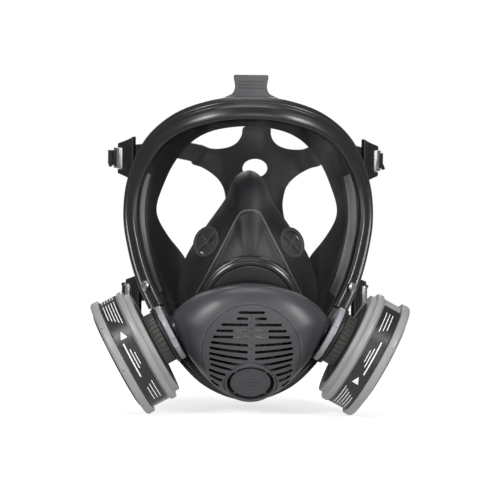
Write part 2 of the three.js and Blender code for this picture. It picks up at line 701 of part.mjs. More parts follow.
for (const { name, side, centre, direction } of arms) {
  const hub = axisGroup(centre, direction);
  const spigotTop = connector.thickness / 2 + connector.spigotLength;
  const half = connector.thickness / 2;
  const ring = lathe([
    [connector.bore, -half], [connector.radius - 1, -half], [connector.radius, -half + 1],
    [connector.radius, half - 1], [connector.radius - 1, half], [connector.spigot, half],
    [connector.spigot, spigotTop], [connector.bore, spigotTop], [connector.bore, -half],
  ]);
  const seatBars = [0, 90].map((degrees) => (
    box(2 * connector.bore + 1, seatBar.depth, seatBar.width, 0, half + 1, 0)
      .rotateY(THREE.MathUtils.degToRad(degrees))
  ));
  add(`connector_${name}`, join(ring, ...seatBars), ringPlastic, hub);
  add(`inhalation_valve_disc_${name}`, disc(connector.bore - 1.2, -half + 0.6, half - 0.4, 28),
    valveRubber, hub);
  const gasketLow = half + GAP;
  const gasketHigh = gasketLow + gasket.thickness;
  add(`inlet_gasket_${name}`, tube(gasket.radius, gasket.bore, gasketLow, gasketHigh), blackRubber, hub);
  const collarLow = gasketHigh + GAP;
  add(`cartridge_collar_${name}`, tube(collar.radius, collar.bore, collarLow, collarLow + collar.length),
    collarPlastic, hub);
  const bodyGroup = new THREE.Group();
  bodyGroup.position.y = collarLow + collar.length + GAP;
  hub.add(bodyGroup);
  add(`cartridge_body_${name}`, cartridgeBody(), greyPlastic, bodyGroup);
  add(`cartridge_cap_${name}`, cartridgeCap(), greyPlastic, bodyGroup);
  add(`cartridge_label_${name}`, wrapLabel(side), labelFilm, bodyGroup);
  const bedTop = cartridgeStep.inlet - cartridge.wall - 1.2 - GAP;
  const bedRadius = cartridge.body - cartridge.wall - GAP;
  add(`sorbent_bed_${name}`, disc(bedRadius, cartridgeStep.rim - 1.6, bedTop), carbon, bodyGroup);
}

// ---- lugs and buckles ----------------------------------------------------------------------
// Local frame: +Y out of the facepiece along the lug, Z along the pin, X through the plate.
function lugSolid() {
  const shape = new THREE.Shape();
  shape.moveTo(0, -lug.root / 2);
  shape.lineTo(lug.length, -lug.tip / 2);
  shape.lineTo(lug.length, lug.tip / 2);
  shape.lineTo(0, lug.root / 2);
  shape.closePath();
  const plate = new THREE.ExtrudeGeometry(shape, { depth: lug.plate, bevelEnabled: false });
  plate.translate(0, 0, -lug.plate / 2).rotateX(Math.PI / 2).rotateZ(Math.PI / 2);
  const notchAt = lug.length - lug.notch / 2 + 0.5;
  const notch = box(lug.plate + 2, lug.notch, lug.tip - 2 * lug.ear, 0, notchAt, 0);
  const pin = new THREE.CylinderGeometry(lug.pin, lug.pin, lug.tip - 2, 12);
  pin.rotateX(Math.PI / 2).translate(0, lug.length - lug.pinInset, 0);
  return join(cut(plate, notch), pin);
}

// The crown's lug is an upright tongue with two ears behind it for the pin.
function crownLugSolid() {
  const { root, waist, waistUp, top, height, corner } = crownLug;
  const shape = new THREE.Shape();
  shape.moveTo(-root / 2, 0);
  shape.quadraticCurveTo(-13, 2, -waist / 2, waistUp);
  shape.lineTo(-top / 2, height - corner);
  shape.quadraticCurveTo(-top / 2, height, -top / 2 + corner, height);
  shape.lineTo(top / 2 - corner, height);
  shape.quadraticCurveTo(top / 2, height, top / 2, height - corner);
  shape.lineTo(waist / 2, waistUp);
  shape.quadraticCurveTo(13, 2, root / 2, 0);
  shape.closePath();
  const extrusion = { depth: lug.plate, bevelEnabled: false, curveSegments: 4 };
  const tongue = new THREE.ExtrudeGeometry(shape, extrusion);
  tongue.rotateX(Math.PI / 2).translate(0, lug.plate, 0);
  const halfWidth = lug.tip / 2;
  const earDepth = crownLug.pinBack + 3;
  const earAt = lug.plate + earDepth / 2 - 1;
  const ears = [-1, 1].map((s) => (
    box(lug.ear, earDepth, crownLug.earHeight, s * (halfWidth - lug.ear / 2), earAt, crownLug.pinUp)
  ));
  const pin = new THREE.CylinderGeometry(lug.pin, lug.pin, lug.tip - 2, 12).rotateZ(Math.PI / 2)
    .translate(0, lug.plate + crownLug.pinBack - 1, crownLug.pinUp);
  return join(tongue, ...ears, pin);
}

function buckleSolid() {
  const width = lug.tip - 2 * lug.ear - buckle.play;
  const barrel = tube(buckle.barrel, buckle.bore, -width / 2, width / 2, 16).rotateX(Math.PI / 2);
  const start = buckle.barrel - 0.9;
  const length = buckle.reach - start;
  const sides = [-1, 1].map((s) => (
    box(buckle.wire * 1.6, length, buckle.wire, 0, start + length / 2, (s * (width - buckle.wire)) / 2)
  ));
  const bar = box(buckle.wire * 1.6, buckle.wire, width, 0, buckle.reach, 0);
  return join(barrel, ...sides, bar);
}

function strapEnd() {
  const width = lug.tip - 2 * lug.ear - buckle.play - 2 * buckle.wire - strapFold.play;
  return box(strap.thickness, strapFold.length, width, 0, buckle.reach - strapFold.back, 0);
}

function lugGroup(position, outward, pinAxis) {
  const through = new THREE.Vector3().crossVectors(outward, pinAxis).normalize();
  const group = new THREE.Group();
  group.position.copy(position);
  group.quaternion.setFromRotationMatrix(new THREE.Matrix4().makeBasis(through, outward, pinAxis));
  respirator.add(group);
  return group;
}

const strapSeats = [
  { name: 'temple_left', at: [-91, -2, 72], out: [-0.7, 0.72, 0], lean: [-0.25, 0.97, 0], pin: [0, 0, 1] },
  { name: 'temple_right', at: [91, -2, 72], out: [0.7, 0.72, 0], lean: [0.25, 0.97, 0], pin: [0, 0, 1] },
  { name: 'cheek_left', at: [-85.5, 9, -38], out: [-0.6, 0.8, 0], lean: [-0.1, 0.99, 0], pin: [0, 0, 1] },
  { name: 'cheek_right', at: [85.5, 9, -38], out: [0.6, 0.8, 0], lean: [0.1, 0.99, 0], pin: [0, 0, 1] },
];

const strapStarts = {};

function hangBuckle(name, pivot, leaning, pinAxis) {
  const swing = lugGroup(pivot, leaning, pinAxis);
  add(`buckle_${name}`, buckleSolid(), steel, swing);
  add(`strap_end_${name}`, strapEnd(), blackRubber, swing);
  strapStarts[name] = pivot.clone().addScaledVector(leaning, buckle.reach + strapFold.start);
}

const crownSeat = new THREE.Vector3(0, -36.5, 123);
add('strap_lug_crown', crownLugSolid(), blackRubber).position.copy(crownSeat);
const crownPin = new THREE.Vector3(0, lug.plate + crownLug.pinBack - 1, crownLug.pinUp);
const crownPivot = crownSeat.clone().add(crownPin);
hangBuckle('crown', crownPivot, new THREE.Vector3(0, 1, 0.05).normalize(), new THREE.Vector3(1, 0, 0));

for (const { name, at, out, lean, pin } of strapSeats) {
  const outward = new THREE.Vector3(...out).normalize();
  const pinAxis = new THREE.Vector3(...pin);
  const leaning = new THREE.Vector3(...lean).normalize();
  const root = new THREE.Vector3(...at);
  const mount = lugGroup(root, outward, pinAxis);
  add(`strap_lug_${name}`, lugSolid(), blackRubber, mount);
  hangBuckle(name, root.clone().addScaledVector(outward, lug.length - lug.pinInset), leaning, pinAxis);
}

// ---- head harness --------------------------------------------------------------------------
function headY(x, z) {
  const { centre, radii } = head;
  return centre.y + radii.y * Math.sqrt(1 - (x / radii.x) ** 2 - ((z - centre.z) / radii.z) ** 2);
}

function harnessPad() {
  const curve = outlineCurve(padOutline);
  const stations = 56;
  const shares = [0, 0.35, 0.7, 1];
  const rows = [];
  for (let i = 0; i < stations; i++) {
    const t = i / stations;
    const rim = curve.getPointAt(t);
    const angle = Math.atan2(rim.x, rim.z);
    const hole = [pad.holeWidth * Math.sin(angle), pad.holeHeight * Math.cos(angle)];
    const at = (share, lift) => {
      const x = hole[0] + (rim.x - hole[0]) * share;
      const z = hole[1] + (rim.z - hole[1]) * share + pad.z;
      return new THREE.Vector3(pad.x + x, headY(x, z) + lift, z);
    };
    const inside = shares.map((share) => at(share, 0));
    const outside = shares.map((share) => at(share, strap.thickness)).reverse();
    rows.push([...inside, ...outside]);
  }
  return loft(rows, true);
}

function strapSolid(points, steps, width) {
  const route = new THREE.CatmullRomCurve3(points, false, 'centripetal');
  const rows = [];
  for (let i = 0; i <= steps; i++) {
    const centre = route.getPointAt(i / steps);
    const along = route.getTangentAt(i / steps);
    const outward = centre.clone().sub(head.centre);
    outward.addScaledVector(along, -outward.dot(along)).normalize();
    const across = new THREE.Vector3().crossVectors(along, outward);
    const corner = (a, b) => centre.clone()
      .addScaledVector(across, (a * width) / 2)
      .addScaledVector(outward, (b * strap.thickness) / 2);
    rows.push([corner(-1, -1), corner(1, -1), corner(1, 1), corner(-1, 1)]);
  }
  const section = [[-1, -1], [1, -1], [1, 1], [-1, 1]].map(([a, b]) => new THREE.Vector2(a, b));
  return loft(rows, false, section);
}

const v = (x, y, z) => new THREE.Vector3(x, y, z);
const temples = (side) => [
  v(side * 105.5, 44, 73.5), v(side * 96, 50, 76), v((side * 157 + pad.x) / 2, 57, 78.2),
  v(pad.x + side * 62, 64, 77.6), v(pad.x + side * 56.6, 70.5, 76.6), v(pad.x + side * 52.2, 76.6, 75.6),
];
const cheeks = (side) => [
  v(side * 89, 58, -39), v(side * 78, 76, -38), v(side * 60 + pad.x / 2, 96, -33),
  v(side * 36 + pad.x, 116, -20), v(side * 24.5 + pad.x, 124.2, -6), v(side * 21 + pad.x, 126.4, 2.6),
];
const crown = [v(1, 20, 131), v(4, 50, 125), v(8, 73, 112), v(pad.x, 85.6, 100.4)];
const routes = {
  crown, temple_left: temples(-1), temple_right: temples(1), cheek_left: cheeks(-1), cheek_right: cheeks(1),
};

add('harness_pad', harnessPad(), blackRubber);
for (const [name, route] of Object.entries(routes)) {
  const width = name === 'crown' ? strap.crownWidth : strap.width;
  add(`strap_${name}`, strapSolid([strapStarts[name], ...route], strap.steps, width), blackRubber);
}

export default respirator;
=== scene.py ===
"""Full face respirator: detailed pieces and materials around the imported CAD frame.
Lengths in this script are millimetres; put() turns them into metres in the shared frame.
The face looks along -Y, +Z is up, and the origin is where the wearer's face seats."""
import json
import math

import bpy
import numpy as np
from mathutils import Matrix, Vector


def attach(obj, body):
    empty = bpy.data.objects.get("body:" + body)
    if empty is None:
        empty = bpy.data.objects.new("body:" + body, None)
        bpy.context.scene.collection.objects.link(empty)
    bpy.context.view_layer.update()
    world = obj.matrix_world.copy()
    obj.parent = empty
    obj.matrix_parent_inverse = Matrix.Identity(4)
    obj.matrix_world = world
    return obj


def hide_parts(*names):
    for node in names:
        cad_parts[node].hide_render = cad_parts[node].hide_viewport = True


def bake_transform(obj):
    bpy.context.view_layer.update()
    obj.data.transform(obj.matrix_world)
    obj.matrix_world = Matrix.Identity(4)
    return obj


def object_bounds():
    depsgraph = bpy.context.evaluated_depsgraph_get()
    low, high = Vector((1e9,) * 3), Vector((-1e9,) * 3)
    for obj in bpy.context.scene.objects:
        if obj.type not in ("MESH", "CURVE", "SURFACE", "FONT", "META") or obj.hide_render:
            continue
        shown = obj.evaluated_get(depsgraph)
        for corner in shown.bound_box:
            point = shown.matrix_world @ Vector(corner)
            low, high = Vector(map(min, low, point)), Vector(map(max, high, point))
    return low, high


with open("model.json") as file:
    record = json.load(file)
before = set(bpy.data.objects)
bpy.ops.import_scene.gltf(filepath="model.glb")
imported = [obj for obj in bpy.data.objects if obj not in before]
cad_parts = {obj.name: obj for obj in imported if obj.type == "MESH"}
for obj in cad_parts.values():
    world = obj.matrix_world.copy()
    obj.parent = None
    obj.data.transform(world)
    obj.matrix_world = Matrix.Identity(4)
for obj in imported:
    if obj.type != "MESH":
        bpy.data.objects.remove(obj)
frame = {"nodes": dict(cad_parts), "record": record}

cad_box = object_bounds()
MM = 0.001
TAU = 2 * math.pi
SIDES = ((-1, "left"), (1, "right"))
rad = math.radians

# ---- driving dimensions, the CAD model's own but for the screws, brackets, grip and folds ---
GAP = 0.3
FRAME_OUTLINE = [(0, 122), (29, 119), (58, 108), (80, 88), (94, 56), (97, 26),
                 (93, 0), (86, -24), (76, -46), (58, -78), (32, -104), (0, -114)]
VISOR = dict(front=-72, wrap=62, half=97, power=2.2, flat_z=-10, brow=34, brow_z=122,
             chin=20, chin_drop=100, thick=2.4)
RING = dict(width=17, wall=2.7, height=4.8, depth=8, split=15 / 44, brow_spread=0.2, spread_from=30,
            spread_over=80)
SCREW = dict(inward=11.5, before_split=1.2 / 44)
BRACKET = dict(inward=12.5, past_split=0.03, lean=24, width=8.5, thick=1.3)
FLANGE = dict(start=3.1, end=15, top=-1.5, bottom=-4.5)
SEAL = dict(wall=3, lip=2.2, front=8, wrap=36, half=90)
SEAL_OUTER = [(0, 113), (28, 110), (54, 98), (73, 80), (83, 54), (86, 26),
              (83, 0), (77, -24), (68, -46), (52, -76), (29, -98), (0, -107)]
SEAL_INNER = [(0, 98.5), (24, 95.8), (36, 91.5), (46, 84.6), (58.3, 69.3), (66.3, 53), (73, 29),
              (64, 11), (50, -6), (40, -26), (32, -46), (19, -62), (0, -68)]
PORT = dict(drum=33, wall=2.4, back=-9, front=9, ring=38.5, lens=34)
CHAMBER = dict(radius=26, wall=2.4, back=2, front=29)
SPEECH = dict(radius=20.2, at=24, bar=27, bar_height=11, rim=4)
OUTLET = dict(ring=20.3, wall=2.3, disc=15.6, tube=17.5, back=-35, front=-11.5,
              bore=11.5, seat_back=-17.4, seat_front=-14.6)
ARM = dict(drop=28.5, root=(61, -78, -59.3), tube=11, wall=2, inner=-20, outer=-3.2, duct_z=-56, reach=41)
CONNECTOR = dict(radius=22.5, thick=4.6, bore=13.5, spigot=16, length=10.5)
GASKET = dict(radius=23, bore=17.2, thick=2.6)
COLLAR = dict(radius=20.6, bore=16.8, length=8.4)
CAN = dict(flange=41.6, rim=45.8, body=44.2, cap=47.6, inlet=39, wall=1.8)
CAN_AT = dict(flange=3.6, rim=9.8, body=24.4, cap=31.2, inlet=32.6)
LABEL = dict(thick=0.5, width=13.4, sweep=215, turn=42)
COVER = dict(centre=-62, front=-114, standoff=9, top_standoff=9, top_from=-56, top_span=30,
             wall=2.5, power=3.2, fullness=4)
PANEL = dict(z=-72, radius=37.4, rows=9, side_rows=3, pitch=4.65, slot=2.1, top_row=-40.5)
COVER_OUTLINE = [(0, -20), (20, -22.4), (39.5, -29.4), (54, -40), (60, -49), (57, -61),
                 (47.6, -77), (34, -94), (21, -105), (0, -112)]
CUP = dict(centre=-20, front=-59.5, rim=-6, wall=2.4, power=2.1, fullness=2)
CUP_OUTLINE = [(0, 64), (11, 58), (18, 42), (33, 20), (48, -3), (56, -28), (54, -56),
               (40, -82), (20, -95), (0, -98)]
CUP_VALVE = dict(x=33, z=8, radius=12.5, flap=9)
HEAD = dict(centre=(0, 30, 20), radii=(80, 100, 95))
STRAP_THICK = 2.4
STRAP_WIDTH = dict(crown=20, side=17)
GRIP = dict(share=0.45, pitch=2.6)
FOLD_THICK = 1.7
# Height range of the lighter band on the skirt's side wall: painted light where the wall is lit.
LIT_WALL_BAND = dict(low=-40, high=60)
PAD = dict(x=9.5, z=62, hole_w=10.5, hole_h=8)
PAD_OUTLINE = [(0, 35), (11, 35), (12.4, 28), (16, 22), (22.5, 18.2), (32, 16.6), (40, 17.4), (48, 20.2),
               (54, 4.8), (46, 1.2), (38, -3.6), (31, -9.8), (26.5, -17), (24.6, -25), (24.2, -33),
               (26, -43),
               (29, -52), (12, -58), (6, -50), (0, -48)]
LUG = dict(root=36, tip=24, length=18, plate=4, ear=3.2, notch=8, pin=1.5)
CROWN = dict(top=27, waist=24.6, height=16.5, pin_up=9, pin_back=6)
BUCKLE = dict(barrel=3.3, bore=1.7, wire=1.8, reach=20)
BUCKLE_WIDTH = LUG["tip"] - 2 * LUG["ear"] - 1


# ---- curves and surfaces --------------------------------------------------------------------
def unit(vector):
    vector = np.asarray(vector, float)
    return vector / np.linalg.norm(vector, axis=-1, keepdims=True)


def route(points, closed=False):
    """(at, along): a centripetal curve through points, walked by share of its length."""
    p = np.array(points, float)
    ends = [p[-1], *p, p[0], p[1]] if closed else [2 * p[0] - p[1], *p, 2 * p[-1] - p[-2]]
    w = np.linspace(0, 1, 60, endpoint=False)[:, None]
    parts = []
    for a, b, c, d in zip(ends, ends[1:], ends[2:], ends[3:]):
        da, db, dc = (max(np.linalg.norm(v - u) ** 0.5, 1e-4) for u, v in ((a, b), (b, c), (c, d)))
        t1 = ((b - a) / da - (c - a) / (da + db) + (c - b) / db) * db
        t2 = ((c - b) / db - (d - b) / (db + dc) + (d - c) / dc) * db
        parts.append(b + t1 * w + (3 * c - 3 * b - 2 * t1 - t2) * w ** 2
                     + (2 * b - 2 * c + t1 + t2) * w ** 3)
    line = np.vstack([*parts, p[:1] if closed else p[-1:]])
    run = np.concatenate([[0], np.cumsum(np.linalg.norm(np.diff(line, axis=0), axis=1))])
    run /= run[-1]

    def at(t):
        t = np.asarray(t, float)
        t = t % 1 if closed else np.clip(t, 0, 1)
        return np.stack([np.interp(t, run, line[:, k]) for k in range(3)], -1)

    def along(t, step=2e-3):
        t = np.asarray(t, float)
        if closed:
            return unit(at(t + step) - at(t - step))
        return unit(at(np.minimum(t + step, 1)) - at(np.maximum(t - step, 0)))

    return at, along


def outline(half):
    mirrored = [(-x, z) for x, z in half[-2:0:-1]]
    return route([(x, 0, z) for x, z in list(half) + mirrored], closed=True)


def visor_y(x, z):
    wrap = VISOR["wrap"] * (np.abs(x) / VISOR["half"]) ** VISOR["power"]
    rise = np.maximum(0, (z - VISOR["flat_z"]) / (VISOR["brow_z"] - VISOR["flat_z"]))
    drop = np.maximum(0, (VISOR["flat_z"] - z) / VISOR["chin_drop"])
    return VISOR["front"] + wrap + VISOR["brow"] * rise ** 2 + VISOR["chin"] * drop ** 2


def on_visor(x, z, lift=0.0):
    step = 0.5
    slope_x = (visor_y(x + step, z) - visor_y(x - step, z)) / (2 * step)
    slope_z = (visor_y(x, z + step) - visor_y(x, z - step)) / (2 * step)
    normal = unit(np.stack([slope_x, -np.ones_like(slope_x), slope_z], -1))
    return np.stack([x, visor_y(x, z), z], -1) + normal * np.asarray(lift)[..., None]


frame_at, frame_along = outline(FRAME_OUTLINE)


def frame_point(t, inward, lift):
    """The point at outline station t, inward along the lens surface and lift out of it."""
    t, inward, lift = np.broadcast_arrays(np.asarray(t, float), inward, lift)
    edge, along = frame_at(t), frame_along(t)
    x, z, ax, az = edge[..., 0], edge[..., 2], along[..., 0], along[..., 2]
    slope = visor_y(x + az, z - ax) - visor_y(x, z)
    run = inward / np.hypot(1, slope)
    return on_visor(x + az * run, z - ax * run, lift)


def dome(half, spec, rim_y, inset):
    """Surface(k, t) of a crowned shell, k from its centre to its rim."""
    at, _ = outline(half)

    def surface(k, t):
        edge = at(t)
        x, z = edge[..., 0], edge[..., 2] - spec["centre"]
        scale = k * (1 - inset / np.hypot(x, z))
        rim = rim_y(x, edge[..., 2])
        swell = np.maximum(0, 1 - k ** spec["power"]) ** (1 / spec["fullness"])
        return np.stack([x * scale, rim + (spec["front"] + inset - rim) * swell,
                         spec["centre"] + z * scale], -1)

    return surface


def axis_frame(position, direction):
    """Matrix that lays the local +Y axis along direction at position."""
    turn = Vector((0, 1, 0)).rotation_difference(Vector(direction).normalized())
    return Matrix.Translation(Vector(position)) @ turn.to_matrix().to_4x4()


def spin(matrix, degrees):
    return matrix @ Matrix.Rotation(rad(degrees), 4, "Y")


def raised(matrix, distance):
    return matrix @ Matrix.Translation((0, distance, 0))


def tilted(degrees):
    return (0, -math.cos(rad(degrees)), -math.sin(rad(degrees)))


def moved(points, matrix):
    m = np.array(matrix)
    return np.asarray(points) @ m[:3, :3].T + m[:3, 3]


# ---- meshes ---------------------------------------------------------------------------------
def shape(points, faces, place=None):
    """A linked object whose faces look outwards."""
    points = np.asarray(points, float).reshape(-1, 3)
    if place is not None:
        points = moved(points, place)
    volume = 0.0
    for f in faces:
        a, b, c = points[f[0]], points[f[1:-1]], points[f[2:]]
        volume += float(np.sum(a * np.cross(b, c)))
    if volume < 0:
        faces = [f[::-1] for f in faces]
    mesh = bpy.data.meshes.new("shape")
    mesh.from_pydata(points.tolist(), [], [list(map(int, f)) for f in faces])
    obj = bpy.data.objects.new("shape", mesh)
    bpy.context.scene.collection.objects.link(obj)
    return obj


def band(rows, cols, endless, first=0):
    """Quads between rows of points, each row a closed loop."""
    faces = []
    for r in range(rows if endless else rows - 1):
        here, there = first + r * cols, first + ((r + 1) % rows) * cols
        for i in range(cols):
            j = (i + 1) % cols
            faces.append([here + i, here + j, there + j, there + i])
    return faces


def loft(rows, endless=False, place=None):
    """Closed section loops joined into a body; an open run gets its two ends filled."""
    rows = np.asarray(rows, float)
    count, cols = rows.shape[:2]
    faces = band(count, cols, endless)
    if not endless:
        faces += [list(range(cols))[::-1], list(range((count - 1) * cols, count * cols))]
    return shape(rows, faces, place)


def polar_shell(front, back, shares, stations):
    """Two surfaces(k, t), k from centre to rim, joined at their rims into a closed shell."""
    t = np.arange(stations) / stations
    points, faces, rims = [front(np.array([0.0]), t[:1])[0], back(np.array([0.0]), t[:1])[0]], [], []
    for which, surface in enumerate((front, back)):
        first = len(points)
        points.extend(np.vstack([surface(np.full(stations, k), t) for k in shares]))
        ring = band(len(shares), stations, False, first)
        fan = [[which, first + (i + 1) % stations, first + i] for i in range(stations)]
        faces += [f[::-1] for f in ring + fan] if which == 0 else ring + fan
        rims.append(first + (len(shares) - 1) * stations)
    for i in range(stations):
        j = (i + 1) % stations
        faces.append([rims[0] + j, rims[0] + i, rims[1] + i, rims[1] + j])
    return shape(points, faces)


def rounded(profile, radius, steps=3, closed=False):
    """The profile with its corners turned to small arcs."""
    p = [np.array(q, float) for q in profile]
    out = []
    for i, corner in enumerate(p):
        if not closed and i in (0, len(p) - 1):
            out.append(tuple(corner))
            continue
        before, after = p[i - 1] - corner, p[(i + 1) % len(p)] - corner
        reach = min(radius, 0.45 * np.linalg.norm(before), 0.45 * np.linalg.norm(after))
        a, b = corner + unit(before) * reach, corner + unit(after) * reach
        for w in np.linspace(0, 1, steps + 1):
            out.append(tuple((1 - w) ** 2 * a + 2 * w * (1 - w) * corner + w ** 2 * b))
    return out


def lathe(profile, segments=96, place=None, wave=None):
    """Turns a profile of (radius, height) about +Y, from pole to pole or as a closed ring off the axis.
    wave(angles, radius) may shift the radius."""
    angles = np.arange(segments) * TAU / segments
    poles = profile[0][0] < 1e-6 and profile[-1][0] < 1e-6
    inner = profile[1:-1] if poles else profile
    rings = []
    for r, h in inner:
        reach = np.full(segments, r) + (wave(angles, r) if wave else 0)
        rings.append(np.stack([reach * np.cos(angles), np.full(segments, h), reach * np.sin(angles)], -1))
    points = np.vstack(rings)
    faces = band(len(rings), segments, not poles)
    if poles:
        low, high = len(points), len(points) + 1
        last = (len(rings) - 1) * segments
        points = np.vstack([points, [[0, profile[0][1], 0], [0, profile[-1][1], 0]]])
        for i in range(segments):
            j = (i + 1) % segments
            faces += [[low, j, i], [high, last + i, last + j]]
    return shape(points, faces, place)


def tube(outer, inner, low, high, radius=0.4, segments=96, place=None):
    ring = [(inner, low), (outer, low), (outer, high), (inner, high)]
    return lathe(rounded(ring, radius, closed=True), segments, place)


def disc(radius, low, high, edge=0.4, segments=96, place=None):
    return lathe(rounded([(0, low), (radius, low), (radius, high), (0, high)], edge), segments, place)


def bar(width, depth, height, at=(0, 0, 0), place=None, edge=0.35):
    """A rounded box of width x depth x height centred on `at`."""
    section = rounded([(-width / 2, -depth / 2), (width / 2, -depth / 2), (width / 2, depth / 2),
                       (-width / 2, depth / 2)], edge, closed=True)
    rows = []
    for z, k in ((-height / 2, edge), (-height / 2 + edge, 0), (height / 2 - edge, 0), (height / 2, edge)):
        rows.append([(x * (1 - 2 * k / width) + at[0], y * (1 - 2 * k / depth) + at[1], z + at[2]) for x,
                     y in section])
    return loft(rows, False, place)


def prism(flat, low, high):
    """The (x, z) outline pushed along Y from low to high."""
    return loft([[(x, y, z) for x, z in flat] for y in (low, high)])


def drop(obj):
    mesh = obj.data
    bpy.data.objects.remove(obj)
    bpy.data.meshes.remove(mesh)


def settle(obj):
    """Applies the object's modifiers."""
    graph = bpy.context.evaluated_depsgraph_get()
    mesh = bpy.data.meshes.new_from_object(obj.evaluated_get(graph))
    old = obj.data
    obj.modifiers.clear()
    obj.data = mesh
    bpy.data.meshes.remove(old)
    return obj


def combine(obj, tools, how="DIFFERENCE"):
    for tool in tools:
        step = obj.modifiers.new("combine", "BOOLEAN")
        step.operation, step.solver, step.object = how, "MANIFOLD", tool
        settle(obj)
        drop(tool)
    return obj


def cut(obj, *tools):
    return combine(obj, tools)


def join(obj, *tools):
    return combine(obj, tools, "UNION")


def gather(parts):
    """One object from several that don't touch."""
    points, faces = [], []
    for part in parts:
        faces += [[v + len(points) for v in face.vertices] for face in part.data.polygons]
        points += [tuple(v.co) for v in part.data.vertices]
        drop(part)
    return shape(points, faces)


# ---- materials ------------------------------------------------------------------------------
class Paint:
    """One procedural material: a Principled shader with noise-driven colour, roughness and grain."""

    def __init__(self, name, **sockets):
        self.material = bpy.data.materials.new(name)
        self.material.use_nodes = True
        self.tree = self.material.node_tree
        self.tree.nodes.clear()
        self.shader = self.node("ShaderNodeBsdfPrincipled")
        out = self.node("ShaderNodeOutputMaterial")
        self.link(self.shader.outputs[0], out.inputs["Surface"])
        for socket, value in sockets.items():
            self.shader.inputs[socket.replace("_", " ")].default_value = value
        self.place = self.node("ShaderNodeTexCoord").outputs["Object"]

    def node(self, kind, **settings):
        made = self.tree.nodes.new(kind)
        for key, value in settings.items():
            setattr(made, key, value)
        return made

    def link(self, source, target):
        self.tree.links.new(source, target)
        return source

    def noise(self, scale, detail=4.0, stretch=(1, 1, 1), distortion=0.0):
        squeeze = self.node("ShaderNodeMapping")
        squeeze.inputs["Scale"].default_value = stretch
        self.link(self.place, squeeze.inputs["Vector"])
        made = self.node("ShaderNodeTexNoise")
        made.inputs["Scale"].default_value = scale
        made.inputs["Detail"].default_value = detail
        made.inputs["Distortion"].default_value = distortion
        self.link(squeeze.outputs[0], made.inputs["Vector"])
        return made.outputs["Fac"]

    def cells(self, scale):
        made = self.node("ShaderNodeTexVoronoi", feature="F1")
        made.inputs["Scale"].default_value = scale
        self.link(self.place, made.inputs["Vector"])
        return made.outputs["Distance"]

    def ramp(self, factor, *stops):
        made = self.node("ShaderNodeValToRGB")
        points = made.color_ramp.elements
        while len(points) < len(stops):
            points.new(0.5)
        for point, (at, value) in zip(points, stops):
            point.position = at
            point.color = (*value, 1) if isinstance(value, tuple) else (value, value, value, 1)
        self.link(factor, made.inputs["Fac"])
        return made.outputs["Color"]

    def blend(self, factor, a, b, how="MIX"):
        made = self.node("ShaderNodeMix", data_type="RGBA", blend_type=how)
        for socket, value in zip((made.inputs[0], made.inputs[6], made.inputs[7]), (factor, a, b)):
            if isinstance(value, bpy.types.NodeSocket):
                self.link(value, socket)
            else:
                socket.default_value = (*value, 1) if isinstance(value, tuple) else value
        return made.outputs[2]

    def worn_edges(self, low=0.52, high=0.6):
        return self.ramp(self.node("ShaderNodeNewGeometry").outputs["Pointiness"], (low, 0.0), (high, 1.0))

    def bump(self, height, depth_mm, strength=1.0, under=None):
        made = self.node("ShaderNodeBump")
        made.inputs["Strength"].default_value = strength
        made.inputs["Distance"].default_value = depth_mm * MM
        self.link(height, made.inputs["Height"])
        if under is not None:
            self.link(under, made.inputs["Normal"])
        return made.outputs["Normal"]

    def finish(self, colour, rough, normal=None):
        for source, socket in ((colour, "Base Color"), (rough, "Roughness"), (normal, "Normal")):
            if source is not None:
                self.link(source, self.shader.inputs[socket])
        return self.material


def shade(colour, k):
    return tuple(min(1.0, c * k) for c in colour)


def moulded(name, colour, rough, mottle=0.14, grain=0.05, grain_scale=1500, wear=1.8, spread=0.09,
            **sockets):
    """Moulded plastic: fine grain, cloudy tone, handled patches and paler worn edges."""
    paint = Paint(name, **sockets)
    cloud = paint.ramp(paint.noise(34, 5, distortion=0.4), (0.3, shade(colour, 1 - mottle)),
                       (0.7, shade(colour, 1 + mottle)))
    speck = paint.ramp(paint.noise(2600, 2), (0.35, 0.0), (0.75, 1.0))
    toned = paint.blend(speck, cloud, shade(colour, 1 + 1.5 * mottle))
    scuff = paint.blend(paint.worn_edges(), (0.0, 0.0, 0.0),
                        paint.ramp(paint.noise(120, 6), (0.42, 0.0), (0.7, 1.0)))
    worn = paint.blend(scuff, toned, shade(colour, wear))
    gloss = paint.ramp(paint.noise(22, 6, distortion=0.8), (0.3, rough - spread), (0.72, rough + spread))
    fine = paint.bump(paint.noise(grain_scale, 3), grain, 0.6)
    return paint.finish(worn, gloss, paint.bump(paint.noise(160, 3), 0.05, 0.35, fine))


def rubber(name, colour, rough, bloom=0.25, depth=0.06, **sockets):
    """Moulded rubber: soft pores, a faint grey bloom in broad patches and rubbed shinier spots."""
    paint = Paint(name, **sockets)
    base = paint.ramp(paint.noise(55, 5), (0.28, shade(colour, 0.82)), (0.74, shade(colour, 1.2)))
    haze = paint.ramp(paint.noise(17, 7, distortion=1.2), (0.48, 0.0), (0.82, bloom))
    dusty = paint.blend(haze, base, shade(colour, 2.4))
    gloss = paint.ramp(paint.noise(28, 5, distortion=0.5), (0.3, rough - 0.1), (0.75, rough + 0.08))
    pores = paint.ramp(paint.cells(900), (0.0, 0.0), (0.35, 1.0))
    fine = paint.bump(pores, depth, 0.25)
    return paint.finish(dusty, gloss, paint.bump(paint.noise(420, 4), depth, 0.5, fine))


